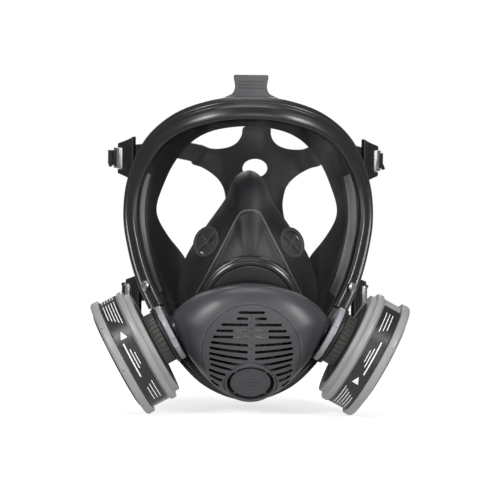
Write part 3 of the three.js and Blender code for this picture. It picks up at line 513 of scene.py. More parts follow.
def lens_material():
    """Hard-coated polycarbonate: nearly invisible face on, faintly streaked; its pale colour turns opaque
    towards a glancing angle as a painted reflection.
    """
    paint = Paint("clear_lens", Coat_Weight=0.6, Coat_Roughness=0.03, IOR=1.5)
    glancing_reflection = paint.node("ShaderNodeLayerWeight")
    glancing_reflection.inputs["Blend"].default_value = 0.28
    # Opacity of the pale colour rising towards a glancing angle: painted reflection.
    rim = paint.ramp(glancing_reflection.outputs["Facing"], (0.0, 0.002), (0.45, 0.012), (0.85, 0.13), (1.0, 0.4))
    streak = paint.ramp(paint.noise(26, 5, stretch=(1, 1, 0.12), distortion=0.5), (0.52, 0.0), (0.85, 0.03))
    smear = paint.ramp(paint.noise(14, 6, distortion=1.0), (0.5, 0.0), (0.8, 0.02))
    see = paint.blend(1.0, paint.blend(1.0, rim, streak, "ADD"), smear, "ADD")
    paint.link(see, paint.shader.inputs["Alpha"])
    tint = paint.ramp(paint.noise(40, 3), (0.3, (0.74, 0.77, 0.79)), (0.7, (0.84, 0.86, 0.87)))
    gloss = paint.ramp(paint.noise(90, 6), (0.3, 0.03), (0.8, 0.12))
    return paint.finish(tint, gloss, paint.bump(paint.noise(12, 2), 0.12, 0.3))


def metal(name, colour, rough, brush=(1, 1, 1)):
    paint = Paint(name, Metallic=1.0)
    lines = paint.noise(900, 4, stretch=brush)
    tone = paint.ramp(lines, (0.3, shade(colour, 0.78)), (0.7, colour))
    stain = paint.ramp(paint.noise(160, 6, distortion=0.6), (0.55, 0.0), (0.85, 0.5))
    dulled = paint.blend(stain, tone, shade(colour, 0.45))
    gloss = paint.ramp(paint.noise(240, 5), (0.3, rough - 0.08), (0.75, rough + 0.14))
    return paint.finish(dulled, gloss, paint.bump(lines, 0.03, 0.5))


def print_ink():
    paint = Paint("white_print")
    worn = paint.ramp(paint.noise(900, 6), (0.3, (0.5, 0.5, 0.49)), (0.5, (0.78, 0.78, 0.76)))
    gloss = paint.ramp(paint.noise(300, 3), (0.3, 0.42), (0.7, 0.6))
    return paint.finish(worn, gloss, paint.bump(paint.noise(1800, 2), 0.02, 0.4))


def charcoal_bed():
    paint = Paint("carbon_granules")
    grains = paint.cells(620)
    tone = paint.ramp(grains, (0.0, (0.022, 0.022, 0.023)), (0.6, (0.004, 0.004, 0.004)))
    gloss = paint.ramp(paint.cells(900), (0.0, 0.45), (0.5, 0.9))
    return paint.finish(tone, gloss, paint.bump(grains, 0.6, 1.0))


RUBBER = rubber("black_rubber", (0.0085, 0.0087, 0.0095), 0.5, Specular_IOR_Level=0.35)
SKIRT = rubber("facepiece_rubber", (0.006, 0.0061, 0.0068), 0.56, bloom=0.3, depth=0.02,
               Specular_IOR_Level=0.25)
# Mid-grey copy of the facepiece rubber for a band of the inner side wall: painted light on the lit wall.
PAINTED_LIT_WALL = rubber("facepiece_wall_painted_light", (0.27, 0.272, 0.285), 0.6, bloom=0.12, depth=0.02)
# A lighter grey copy of the black rubber: painted highlight on the crown tab's face and on the cup's ridge.
PAINTED_HIGHLIGHT_RUBBER = rubber("rubber_painted_highlight", (0.068, 0.067, 0.072), 0.5, bloom=0.2, depth=0.02)
CUP_RUBBER = rubber("nose_cup_rubber", (0.0095, 0.0098, 0.011), 0.52, bloom=0.18, depth=0.008,
                    Specular_IOR_Level=0.2)
DARK_FLAP = rubber("cup_valve_rubber", (0.02, 0.021, 0.024), 0.35, depth=0.01)
STRAP = rubber("harness_rubber", (0.0078, 0.008, 0.0087), 0.54, depth=0.05, Specular_IOR_Level=0.3)
SATIN = moulded("satin_black_plastic", (0.0105, 0.0108, 0.0118), 0.3, grain=0.025, spread=0.07,
                Coat_Weight=0.12,
                Coat_Roughness=0.2)
CHARCOAL = moulded("charcoal_plastic", (0.034, 0.0345, 0.0385), 0.42, grain=0.09, grain_scale=900, wear=1.9)
CANISTER = moulded("cartridge_grey", (0.25, 0.246, 0.242), 0.42, mottle=0.06, grain=0.05, wear=1.25)
RING_GREY = moulded("connector_plastic", (0.25, 0.245, 0.265), 0.36, mottle=0.07, wear=1.3)
BROWN = moulded("collar_plastic", (0.045, 0.041, 0.036), 0.46, mottle=0.12, wear=1.7)
PALE = moulded("light_plastic", (0.84, 0.84, 0.82), 0.42, mottle=0.06, wear=1.15)
DARK_DISC = moulded("cartridge_dark_plastic", (0.016, 0.016, 0.017), 0.46, grain=0.06)
FILM = moulded("label_film", (0.009, 0.009, 0.0095), 0.34, mottle=0.2, grain=0.02, wear=1.6)
INK = print_ink()
FLAP = rubber("valve_rubber", (0.13, 0.135, 0.14), 0.55)
FOIL = metal("diaphragm_foil", (0.1, 0.1, 0.105), 0.42)
STEEL = metal("steel", (0.56, 0.57, 0.59), 0.3, brush=(1, 6, 1))
CARBON = charcoal_bed()
LENS = lens_material()

SLOT_PAINT = {"black_rubber": RUBBER, "satin_black_plastic": SATIN, "charcoal_plastic": CHARCOAL,
              "clear_lens": LENS,
          "cartridge_grey": CANISTER, "connector_plastic": RING_GREY, "collar_plastic": BROWN,
          "label_film": FILM,
          "light_plastic": PALE, "valve_rubber": FLAP, "steel": STEEL, "carbon": CARBON}
slot_of = {part["node"]: part["material_slot"] for part in frame["record"]["subparts"]}
body_of = {node: body for body, members in frame["record"]["behaviour"]["bodies"].items()
           for node in members}
for node, obj in frame["nodes"].items():
    obj.data.materials.clear()
    obj.data.materials.append(SLOT_PAINT[slot_of[node]])


def put(obj, name, material, *nodes, body=None, sharp=32, slot=None, also=()):
    """Names a finished shape, turns it into metres, and lets it stand for its CAD nodes on their body."""
    obj.name = obj.data.name = name
    obj.data.transform(Matrix.Scale(MM, 4))
    painted = [face.material_index for face in obj.data.polygons] if also else []
    obj.data.materials.clear()
    for each in (material, *also):
        obj.data.materials.append(each)
    if also:
        obj.data.polygons.foreach_set("material_index", painted)
    obj.data.polygons.foreach_set("use_smooth", [True] * len(obj.data.polygons))
    obj.data.set_sharp_from_angle(angle=rad(sharp))
    if body != "bends":
        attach(obj, body or body_of[nodes[0]])
    if nodes:
        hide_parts(*nodes)
    return obj


def plug(radius, low, high, place=None, segments=96):
    """A plain round cutter."""
    return lathe([(0, low), (radius, low), (radius, high), (0, high)], segments, place)


def soften(obj, width, segments=2, angle=38):
    step = obj.modifiers.new("edge", "BEVEL")
    step.width, step.segments, step.limit_method, step.angle_limit = width, segments, "ANGLE", rad(angle)
    step.use_clamp_overlap = True
    return settle(obj)


# ---- clamp ring, lens, facepiece ------------------------------------------------------------
RING_SECTION = np.array(rounded([
    (0, -RING["depth"]), (0, 2.0), (1.3, 4.1), (5.0, RING["height"]), (6.5, 3.3), (8.0, 4.5),
    (9.2, RING["height"]), (12.6, 4.7), (15.2, 3.9), (RING["width"], 1.5), (RING["wall"], 1.5),
    (RING["wall"], -RING["depth"])], 0.9, 3, closed=True))


def ring_part(start, end, stations):
    t = np.linspace(start + 0.001, end - 0.001, stations)
    rise = (frame_at(t)[:, 2] - RING["spread_from"]) / RING["spread_over"]
    spread = 1 + RING["brow_spread"] * np.clip(rise, 0, 1)[:, None]
    inward, lift = RING_SECTION[None, :, 0], RING_SECTION[None, :, 1]
    return loft(frame_point(t[:, None], np.where(inward > RING["wall"] + 0.1, inward * spread, inward),
                            lift))


def visor_sheet(low, high, stations=176, rings=22):
    """A sheet that follows the lens surface, out to the clamp ring's wall."""
    inner, seat = 0.85, (17, 5)

    def surface(lift):
        def point(k, t):
            k = np.broadcast_to(k, t.shape)
            inward = np.where(k > inner, seat[0] + (seat[1] - seat[0]) * (k - inner) / (1 - inner), seat[0])
            near = frame_point(t, inward, lift)
            edge = frame_point(t, seat[0], 0.0)
            share = np.minimum(k / inner, 1)
            far = on_visor(edge[..., 0] * share, edge[..., 2] * share, np.full(t.shape, float(lift)))
            return np.where((k > inner)[..., None], near, far)
        return point

    shares = [*np.linspace(0, inner, rings)[1:], 0.93, 1.0]
    return polar_shell(surface(high), surface(low), shares, stations)


PORT_PLACE = axis_frame((0, -69, -38), tilted(10))
CHAMBER_PLACE = axis_frame((0, -70, -54), tilted(10))
OUTLET_PLACE = axis_frame((0, -103, -96), tilted(40))
drop_angle = rad(ARM["drop"])
HUBS = {}
for side, name in SIDES:
    root = (side * ARM["root"][0], *ARM["root"][1:])
    HUBS[name] = axis_frame(root, (side * math.cos(drop_angle), 0, -math.sin(drop_angle)))

put(cut(visor_sheet(-VISOR["thick"] / 2, VISOR["thick"] / 2), plug(PORT["lens"], -20, 20, PORT_PLACE)),
    "visor_lens", LENS, "lens", sharp=40)
put(ring_part(-RING["split"], RING["split"], 200), "clamp_ring_upper", SATIN, "lens_ring_upper")
put(ring_part(RING["split"], 1 - RING["split"], 100), "clamp_ring_lower", SATIN, "lens_ring_lower")


def seal_y(x):
    return SEAL["front"] + SEAL["wrap"] * (x / SEAL["half"]) ** 2


def face_skirt(stations=88):
    t = np.arange(stations) / stations
    outer, inner = outline(SEAL_OUTER)[0](t), outline(SEAL_INNER)[0](t)
    outer[:, 1] = seal_y(outer[:, 0])
    inner[:, 1] = seal_y(inner[:, 0]) - 3
    centre = np.stack([np.zeros(stations), outer[:, 1], outer[:, 2] * 0.4], -1)
    inward = unit(centre - outer)
    back = -RING["depth"] - 1.5
    shoulder = frame_point(t, FLANGE["start"], back)
    shoulder_in = frame_point(t, FLANGE["start"] + SEAL["wall"], back)
    outer_in = outer + inward * SEAL["wall"]
    bulge = -3 * inward

    def between(a, b, share, dy=0.0):
        return a + (b - a) * share + np.array([0, dy, 0])

    lip = SEAL["lip"]
    loops = [
        frame_point(t, FLANGE["start"], FLANGE["top"]), frame_point(t, FLANGE["end"], FLANGE["top"]),
        frame_point(t, FLANGE["end"], FLANGE["bottom"]),
        frame_point(t, FLANGE["start"] + SEAL["wall"] + 1, FLANGE["bottom"]),
        shoulder_in, between(shoulder_in, outer_in, 0.5) + bulge, between(outer_in, outer_in, 0, -2),
        between(outer_in, inner, 0.5, -1.5 - lip), between(inner, inner, 0, -lip), inner,
        between(outer, inner, 0.5, -1.5), between(outer, inner, 0.04, 0.6), outer,
        between(shoulder, outer, 0.5) + bulge, shoulder]
    obj = loft(np.stack(loops, 1), endless=True)
    wall = {4, 5, 6}
    # Side-wall faces in this band get the second, lighter material: painted light where the wall is lit.
    for face in obj.data.polygons:
        slanting = all(v % len(loops) in wall for v in face.vertices)
        x, _, z = face.center
        face.material_index = int(slanting and abs(x) > 40 and LIT_WALL_BAND["low"] < z < LIT_WALL_BAND["high"])
    step = obj.modifiers.new("smooth", "SUBSURF")
    step.levels = step.render_levels = 2
    return settle(obj)


# The rubber facepiece, with a lighter band on its side walls painted as light.
put(face_skirt(), "rubber_facepiece", SKIRT, "face_skirt", sharp=60, also=(PAINTED_LIT_WALL,))


def screw_head(profile, edge, segments, slit, turn, place):
    """A screw head turned from its profile, and the cutter of its slit."""
    head = lathe(rounded(profile, edge), segments, place)
    return head, bar(*slit, (0, profile[-1][1], 0), spin(place, turn), edge=0.1)


for side, name in SIDES:
    t = side * (RING["split"] - SCREW["before_split"])
    seat = frame_point(t, SCREW["inward"], RING["height"] + GAP + 0.2)
    up = frame_point(t, SCREW["inward"], RING["height"] + 5) - seat
    place = axis_frame(seat, up)
    head, slit = screw_head([(0, 0), (4.2, 0), (4.2, 1.5), (3.2, 2.6), (0, 2.6)], 0.5, 48, (9, 1.4, 0.9),
                            32, place)
    put(cut(head, slit), f"ring_screw_{name}", STEEL, f"clamp_screw_{name}")

for side, name in SIDES:
    t = side * (RING["split"] + BRACKET["past_split"])
    seat = frame_point(t, BRACKET["inward"], RING["height"] + 0.4)
    up = frame_point(t, BRACKET["inward"], RING["height"] + 5) - seat
    place = spin(axis_frame(seat, up), BRACKET["lean"] * side)
    plate = bar(BRACKET["width"], BRACKET["thick"], 15, (0, 0.65, 0), place, edge=0.5)
    lip = bar(BRACKET["width"], 4.2, BRACKET["thick"], (0, 2.1, 7.2), place, edge=0.4)
    boss, slit = screw_head([(0, 0.5), (3.3, 0.5), (3.3, 2.6), (2.4, 3.6), (0, 3.6)], 0.4, 40,
                            (8, 1.4, 0.8), 50, place)
    put(cut(join(plate, lip, boss), slit), f"clamp_bracket_{name}", STEEL, body="facepiece", slot="steel")


# ---- nose cup -------------------------------------------------------------------------------
RIDGE = np.array([(0, 34), (4, 33.6), (7.6, 31.6), (10.5, 27), (41, -32), (46, -52)], float)


def ridge_lift(x, z):
    """Height of the moulded ridge that frames the cup's middle."""
    p = np.stack([np.abs(x), z], -1)
    gap = np.full(x.shape, 1e9)
    for a, b in zip(RIDGE, RIDGE[1:]):
        run = np.clip(((p - a) @ (b - a)) / ((b - a) @ (b - a)), 0, 1)
        gap = np.minimum(gap, np.linalg.norm(p - a - run[..., None] * (b - a), axis=-1))
    return 1.5 * np.exp(-(gap / 1.3) ** 2)


def cup_dome(inset):
    """The cup's crowned surface without its ridge."""
    return dome(CUP_OUTLINE, CUP, lambda x, z: CUP["rim"] + 0 * x, inset)


def cup_surface(inset):
    plain = cup_dome(inset)

    def surface(k, t):
        p = plain(k, t)
        if inset == 0:
            p[..., 1] -= ridge_lift(p[..., 0], p[..., 2])
        return p

    return surface


def cup_valve_place(side):
    plain = cup_dome(0)
    k, t = np.meshgrid(np.arange(1, 20) / 20, np.arange(200) / 200, indexing="ij")
    points = plain(k, t).reshape(-1, 3)
    miss = np.hypot(points[:, 0] - side * CUP_VALVE["x"], points[:, 2] - CUP_VALVE["z"])
    order = np.lexsort((k.ravel(), t.ravel(), np.round(miss, 6)))
    return axis_frame(points[order[0]], (side * 0.62, -0.72, 0.3))


CUP_PLACES = {name: cup_valve_place(side) for side, name in SIDES}
half_turn = np.sin(np.linspace(0, math.pi / 2, 49)[1:])
cup = polar_shell(cup_surface(0), cup_surface(CUP["wall"]), half_turn, 220)
cutters = [plug(PORT["drum"] + GAP, -40, 40, PORT_PLACE)]
for place in CUP_PLACES.values():
    cutters.append(plug(CUP_VALVE["radius"] - 2, -12, 12, place))
    cutters.append(tube(CUP_VALVE["radius"] + GAP, CUP_VALVE["radius"] - 4, 0.6 - GAP, 9, 0.2, 64, place))
put(cut(cup, *cutters), "inner_nose_cup", CUP_RUBBER, "nose_cup", sharp=50)


def cup_ridge(radius=0.75):
    """The fine raised line that frames the cup's middle, laid on its surface."""
    plain = cup_dome(0)
    k, t = np.meshgrid(np.linspace(0, 1, 160)[1:], np.arange(480) / 480, indexing="ij")
    cloud = plain(k, t).reshape(-1, 3)
    legs = [(41, -32), (33.2, -16.9), (25.4, -1.8), (17.6, 13.3), (10.5, 27), (7.6, 31.6), (4, 33.6)]
    points = []
    for x, z in [(-x, z) for x, z in legs] + [(0, 34)] + legs[::-1]:
        nearest = int(np.argmin(np.hypot(cloud[:, 0] - x, cloud[:, 2] - z)))
        points.append((x, cloud[nearest, 1] - 1.3, z))
    at, along = route(points)
    share = np.linspace(0, 1, 90)
    centre, forward = at(share), along(share)
    side = unit(np.cross(forward, np.array([0, -1.0, 0])))
    rise = np.cross(side, forward)
    turn = np.arange(12) / 12 * TAU
    ring = side[:, None] * np.cos(turn)[None, :, None] + rise[:, None] * np.sin(turn)[None, :, None]
    return loft(centre[:, None] + radius * ring)


# The ridge carries the lighter rubber as a painted highlight.
put(cup_ridge(), "nose_cup_ridge", PAINTED_HIGHLIGHT_RUBBER, body="facepiece", slot="black_rubber", sharp=60)

for name, place in CUP_PLACES.items():
    radius = CUP_VALVE["radius"]
    seat = tube(radius, radius - 3, 0.6, 3, 0.5, 64, place)
    spokes = [bar(2 * radius - 4, 1.2, 2.2, (0, 1.6, 0), spin(place, a)) for a in (0, 90)]
    put(join(seat, *spokes), f"cup_valve_ring_{name}", DARK_DISC, f"nose_cup_valve_seat_{name}")
    put(disc(CUP_VALVE["flap"], -0.4, 0.6, 0.25, 64, place), f"cup_valve_flap_{name}", DARK_FLAP,
        f"nose_cup_valve_disc_{name}")


# ---- breathing housing ----------------------------------------------------------------------
def duct(radius, reach, segments=64):
    place = Matrix.Translation((0, ARM["root"][1], ARM["duct_z"])) @ Matrix.Rotation(rad(90), 4, "Z")
    return plug(radius, -reach, reach, place, segments)


def housing():
    arm, bore = ARM["tube"], ARM["tube"] - ARM["wall"]
    drum = disc(PORT["drum"], PORT["back"], PORT["front"], 1.2, 128, PORT_PLACE)
    inside = CHAMBER["radius"] - CHAMBER["wall"]
    ledge = tube(inside + 0.4, SPEECH["radius"] - 1.7, SPEECH["at"] - 2, SPEECH["at"] - 0.3, 0.3, 96,
                 CHAMBER_PLACE)
    outside = join(
        drum, disc(CHAMBER["radius"], CHAMBER["back"], CHAMBER["front"], 1.0, 96, CHAMBER_PLACE),
        disc(OUTLET["tube"], OUTLET["back"], OUTLET["front"], 0.5, 96, OUTLET_PLACE),
        duct(arm, ARM["reach"]),
        *[disc(arm, ARM["inner"], ARM["outer"], 0.5, 64, hub) for hub in HUBS.values()])
    wall = PORT["wall"]
    hollow = cut(
        outside, plug(PORT["drum"] - wall, PORT["back"] - 1, PORT["front"] - wall, PORT_PLACE),
        plug(CHAMBER["radius"] - CHAMBER["wall"], CHAMBER["back"] - 3, CHAMBER["front"] + 1, CHAMBER_PLACE),
        plug(OUTLET["tube"] - wall, OUTLET["back"] + 8, OUTLET["front"] + 1, OUTLET_PLACE),
        duct(bore, ARM["reach"] - ARM["wall"]),
        *[plug(bore, ARM["inner"] + 1, ARM["outer"] + 1, hub) for hub in HUBS.values()])
    return join(hollow, ledge)


def port_ring():
    inner, outer = PORT["drum"] + GAP, PORT["ring"]
    steps = rounded([(inner, -12), (outer, -12), (outer, 3.6), (outer - 1.5, 4.6), (outer - 1.5, 6.0),
                     (outer - 3.2, 6.9), (outer - 3.2, 7.8), (inner, 7.8)], 0.45, 3, closed=True)
    return cut(lathe(steps, 160, PORT_PLACE), visor_sheet(-20, VISOR["thick"] / 2 + GAP, 96, 12),
               plug(CHAMBER["radius"] + GAP, CHAMBER["back"] - GAP, CHAMBER["front"], CHAMBER_PLACE),
               duct(ARM["tube"] + GAP, ARM["reach"]))


put(housing(), "breathing_unit", SATIN, "breathing_housing")
put(port_ring(), "port_clamp_ring", SATIN, "port_ring")
speech_r, speech_at = SPEECH["radius"], SPEECH["at"]
ripple = [(r, speech_at + 0.6 + 0.25 * math.cos(r * 1.6)) for r in np.linspace(speech_r - 1, 0.0, 40)[:-1]]
diaphragm = lathe([(0, speech_at), (speech_r, speech_at), (speech_r, speech_at + 0.5), *ripple,
                   (0, speech_at + 0.85)],
                  96, CHAMBER_PLACE)
put(diaphragm, "voice_diaphragm", FOIL, "speech_diaphragm")
rim = tube(speech_r + 0.6, speech_r - SPEECH["rim"], speech_at + 1.2, speech_at + 4.5, 0.5, 96,
           CHAMBER_PLACE)
stay = bar(2 * speech_r - SPEECH["rim"], 1.8, 4, (0, speech_at + 2.6, 0), CHAMBER_PLACE)
plate = bar(SPEECH["bar"], 2.2, SPEECH["bar_height"], (0, speech_at + 2.7, 0), CHAMBER_PLACE)
put(join(rim, stay), "voice_retainer", DARK_DISC, "diaphragm_retainer")
put(plate, "voice_plate", PALE, body="facepiece", slot="light_plastic")


# ---- front cover, grille and outlet ---------------------------------------------------------
def cover_rim(x, z):
    top = np.clip((z - COVER["top_from"]) / COVER["top_span"], 0, 1)
    return visor_y(x, z) - COVER["standoff"] - COVER["top_standoff"] * top


def cover_shell(rings, stations):
    turn = np.linspace(0, math.pi / 2, rings + 1)[1:]
    shares = np.sin(turn) ** (2 / COVER["power"])
    return polar_shell(dome(COVER_OUTLINE, COVER, cover_rim, 0),
                       dome(COVER_OUTLINE, COVER, cover_rim, COVER["wall"]),
                       shares, stations)


def along_y(radius, z, low, high, segments=192):
    return plug(radius, low, high, Matrix.Translation((0, 0, z)), segments)


def slot_cutter(side, inner, outer, z, dip):
    """A round-ended slot that dips towards the middle line, cut straight through along Y."""
    half, ends = PANEL["slot"] / 2, 6
    w = np.linspace(0, 1, 13)
    x = inner + half + (outer - inner - 2 * half) * w
    mid = (1 - w) ** 2 * (z - dip) + 2 * w * (1 - w) * (z - dip * 0.7) + w ** 2 * z
    low = list(zip(x, mid - half))
    high = list(zip(x, mid + half))[::-1]
    cap = np.linspace(-math.pi / 2, math.pi / 2, ends + 2)[1:-1]
    right = [(x[-1] + half * math.cos(a), mid[-1] + half * math.sin(a)) for a in cap]
    left = [(x[0] - half * math.cos(a), mid[0] - half * math.sin(a)) for a in cap]
    flat = [(side * px, pz) for px, pz in low + right + high + left]
    return prism(flat, -135, -70)


def slot_cutters():
    cutters, rows = [], []
    inner, margin = 2.6, 5.4
    for row in range(1, PANEL["rows"] + 1):
        z = PANEL["top_row"] - row * PANEL["pitch"] + (max(0, row - 4) * 0.35)
        chord = math.sqrt((PANEL["radius"] - margin) ** 2 - (z - PANEL["z"]) ** 2)
        dip = 2 + (row - 5) * 0.9 if row > 4 else 0
        rows.append(z - dip)
        cutters += [slot_cutter(s, inner, 11.5 if row == 1 else chord, z, dip) for s, _ in SIDES]
    for row in range(1, PANEL["side_rows"] + 1):
        z = PANEL["top_row"] - (PANEL["rows"] + row) * PANEL["pitch"] + 1.9
        cutters += [slot_cutter(s, 16.5 + row * 2.4, 33 - row, z, 3.2) for s, _ in SIDES]
    cutters.append(slot_cutter(1, -10, 10, PANEL["top_row"], 0))
    return cutters, rows


def outlet_bore():
    return plug(OUTLET["ring"] + GAP, -30, 30, OUTLET_PLACE, 128)


arm_room = []
for hub in HUBS.values():
    arm_room += [plug(ARM["tube"] + 0.6, ARM["inner"] - 1, 10, hub),
                 plug(60, -CONNECTOR["thick"] / 2 - 0.7, 30, hub)]
cover = cut(cover_shell(44, 220), along_y(PANEL["radius"] + GAP, PANEL["z"], -140, -78), outlet_bore(),
            *arm_room)
put(soften(cover, 0.5, 2, 45), "breathing_cover", CHARCOAL, "front_cover", sharp=50)

cutters, rib_rows = slot_cutters()
panel = combine(cover_shell(44, 160), [along_y(PANEL["radius"], PANEL["z"], -140, -79)], "INTERSECT")
put(cut(panel, outlet_bore(), *cutters), "slotted_grille", CHARCOAL, "grille_panel", sharp=40)

face = dome(COVER_OUTLINE, COVER, cover_rim, 0)
k_line = np.linspace(0, 0.9, 200)
middle = np.vstack([face(k_line[::-1], np.zeros(200)), face(k_line, np.full(200, 0.5))])
for i, z in enumerate(rib_rows[:7]):
    y = float(np.interp(-z, -middle[:, 2], middle[:, 1]))
    stud = lathe([(0, -0.6), (0.75, -0.6), (0.75, 0.1), (0.6, 0.42), (0.3, 0.62), (0, 0.68)], 20,
                 axis_frame((0, y, z + PANEL["pitch"] / 2), (0, -1, 0)))
    put(stud, f"grille_stud_{i + 1}", CHARCOAL, body="facepiece", slot="charcoal_plastic")


def outlet_guard():
    ring, wall, plate = OUTLET["ring"], OUTLET["wall"], OUTLET["disc"]
    rim = lathe(rounded([(ring - wall, -9), (ring, -9), (ring, 0), (ring - wall, 0)], 0.7, 4, closed=True),
                128, OUTLET_PLACE)
    crown = [(plate, -4.6), (plate, -1.4), (plate - 1.3, -0.5), (plate - 2.6, -0.45), (plate - 3.1, -0.85),
             (plate - 3.6, -0.4), (0, -0.1)]
    boss = lathe(rounded([(0, -4.6), *crown], 0.35), 128, OUTLET_PLACE)
    spokes = [bar(2 * ring - 2, 3, 2.2, (0, -3, 0), spin(OUTLET_PLACE, a)) for a in (45, 135)]
    marks = [bar(w, 0.7, 1.3, (0, -0.1, z), OUTLET_PLACE, 0.2) for w, z in ((9, 3.6), (14, 0), (6, -3.8))]
    return join(rim, boss, *spokes, *marks)


put(outlet_guard(), "exhalation_guard", CHARCOAL, "outlet_guard")
seat_r = OUTLET["tube"] - PORT["wall"] - GAP
seat = tube(seat_r, OUTLET["bore"], OUTLET["seat_back"], OUTLET["seat_front"], 0.4, 72, OUTLET_PLACE)
bars = [bar(25, 1.6, 1.8, (0, -16.4, 0), spin(OUTLET_PLACE, a)) for a in (0, 90)]
put(join(seat, *bars), "exhalation_seat", PALE, "exhalation_valve_seat")
put(lathe([(0, -14.2), (12.8, -14.2), (13.4, -14.0), (13.4, -13.7), (7, -13.2), (2.4, -12.7), (1.2, -12.4),
           (0, -12.3)],
          72, OUTLET_PLACE), "exhalation_flap_disc", FLAP, "exhalation_valve_disc")


# ---- connectors and cartridges --------------------------------------------------------------
def connector(hub):
    half, top = CONNECTOR["thick"] / 2, CONNECTOR["thick"] / 2 + CONNECTOR["length"]
    radius, bore, spigot = CONNECTOR["radius"], CONNECTOR["bore"], CONNECTOR["spigot"]
    ring = lathe(rounded([(bore, -half), (radius - 0.8, -half), (radius, -half + 0.8), (radius, half - 0.8),
                          (radius - 0.8, half), (spigot, half), (spigot, top), (bore, top)], 0.5, 3,
                          closed=True),
                 128, hub)
    stays = [bar(2 * bore + 1, 1.6, 2, (0, half + 1, 0), spin(hub, a)) for a in (0, 90)]
    return cut(join(ring, *stays),
               *[bar(3, 9, 7, (radius + 0.6, 0, 0), spin(hub, a), 0.5) for a in range(15, 360, 60)])


def grooved(outer, inner, low, high, hub, ribs, depth, corner=0.5):
    """A ring whose outer wall carries upright grip ribs."""
    def wave(angles, radius):
        return np.where(radius > outer - 0.05, -depth * (0.5 + 0.5 * np.cos(angles * ribs)) ** 3, 0.0)

    ring = [(inner, low), (outer, low), (outer, high), (inner, high)]
    return lathe(rounded(ring, corner, 3, closed=True), ribs * 10, hub, wave)


def can_wall(place):
    flange_top, rim, body = CAN_AT["flange"], CAN_AT["rim"], CAN_AT["body"]
    w, seat = CAN["wall"], COLLAR["bore"] + 1
    outer = rounded([
        (CAN["flange"] - 7, 0.25), (CAN["flange"], 0.25), (CAN["flange"], flange_top),
        (CAN["rim"] - 0.6, flange_top + 1),
        (CAN["rim"], flange_top + 1.8), (CAN["rim"], rim - 1.2), (CAN["rim"] - 0.5, rim - 0.5),
        (CAN["body"], rim),
        (CAN["body"], body), (CAN["body"] - w, body), (CAN["body"] - w, rim - 2),
        (CAN["flange"] - 2 * w, flange_top - w),
        (seat, flange_top - w), (seat, 1.0), (CAN["flange"] - 7, 1.0)], 0.4, 3, closed=True)
    return lathe(outer, 192, place)


def can_back(place):
    """The black pressed face towards the mask, with a few ring steps."""
    seat, edge = COLLAR["bore"] + 1, CAN["flange"] - 7
    steps = [(seat, 0.85), (seat, 0.0), (24, 0.0), (24.6, 0.35), (27.4, 0.35), (28, 0.0), (edge, 0.0),
             (edge, 0.85)]
    return lathe(rounded(steps, 0.2, 2, closed=True), 128, place)


def can_cap(place):
    body, cap, inlet = CAN_AT["body"] + GAP, CAN_AT["cap"], CAN_AT["inlet"]
    w = CAN["wall"]
    outer = rounded([
        (CAN["body"] - w, body), (CAN["cap"], body), (CAN["cap"], cap - 1.6), (CAN["cap"] - 1.2, cap - 0.2),
        (CAN["inlet"] + 3.4, cap), (CAN["inlet"] + 2.8, cap - 1.2), (CAN["inlet"] + 0.25, cap - 1.2),
        (CAN["inlet"] + 0.25, inlet - w - 1.2), (CAN["body"] - w, inlet - w - 1.2)], 0.45, 3, closed=True)
    rim = lathe(outer, 192, place)
    nicks = [bar(6, 4, 1.6, (CAN["cap"] + 2.2, cap - 1.2, 0), spin(place, a), 0.3)
             for a in range(10, 370, 45)]
    return cut(rim, *nicks)


def can_inlet(place):
    inlet, w = CAN_AT["inlet"], CAN["wall"]
    low = inlet - w - 1.2
    groove, hollow = inlet - 0.7, inlet - 0.8
    steps = [(0, low), (CAN["inlet"], low), (CAN["inlet"], inlet), (35.2, inlet), (34.8, groove),
             (33.6, groove), (33.2, inlet), (14, inlet), (13.2, hollow), (0, hollow)]
    face = lathe(rounded(steps, 0.3, 2), 192, place)
    slots = [bar(14, 12, 4, (26, inlet, 0), spin(place, a), 1.4) for a in range(0, 360, 30)]
    return cut(face, *slots)


def wrapped(inner, outer, low, high, start, end, place):
    """A thin strip bent round the cartridge wall between two angles in degrees."""
    steps = max(2, int(abs(end - start) / 2.5))
    rows = []
    for a in np.linspace(rad(start), rad(end), steps + 1):
        rows.append([(r * math.cos(a), h, r * math.sin(a)) for r, h in
                     ((inner, low), (outer, low), (outer, high), (inner, high))])
    return loft(rows, False, place)


def label_print(place, low, start, sweep, pointer_up):
    """Plain rules, bars and a pointer: a generic pattern with no lettering."""
    inner = CAN["body"] + GAP + LABEL["thick"] - 0.06
    outer = inner + 0.16
    strips = []

    def strip(near, far, a, b):
        strips.append(wrapped(inner, outer, low + near, low + far, start + sweep * a, start + sweep * b,
                              place))

    for i in range(5):
        strip(2.2 + i * 2.2, 2.8 + i * 2.2, 0.17, 0.34)
        strip(2.2 + i * 2.2, 2.8 + i * 2.2, 0.37, 0.53 - 0.012 * i)
    for i in range(7):
        taper = 0.36 * (i if pointer_up else 6 - i)
        strip(4.2 + taper, 9.2 - taper, 0.6 - 0.005 * (i + 1), 0.6 - 0.005 * i)
    for near, far, a, b in ((8.5, 9.5, 0.62, 0.79), (6.2, 6.9, 0.655, 0.75), (4.1, 4.7, 0.675, 0.735)):
        strip(near, far, a, b)
    for i in range(3):
        strip(3.2 + i * 2.6, 3.8 + i * 2.6, 0.83 + 0.012 * i, 0.95)
    return gather(strips)


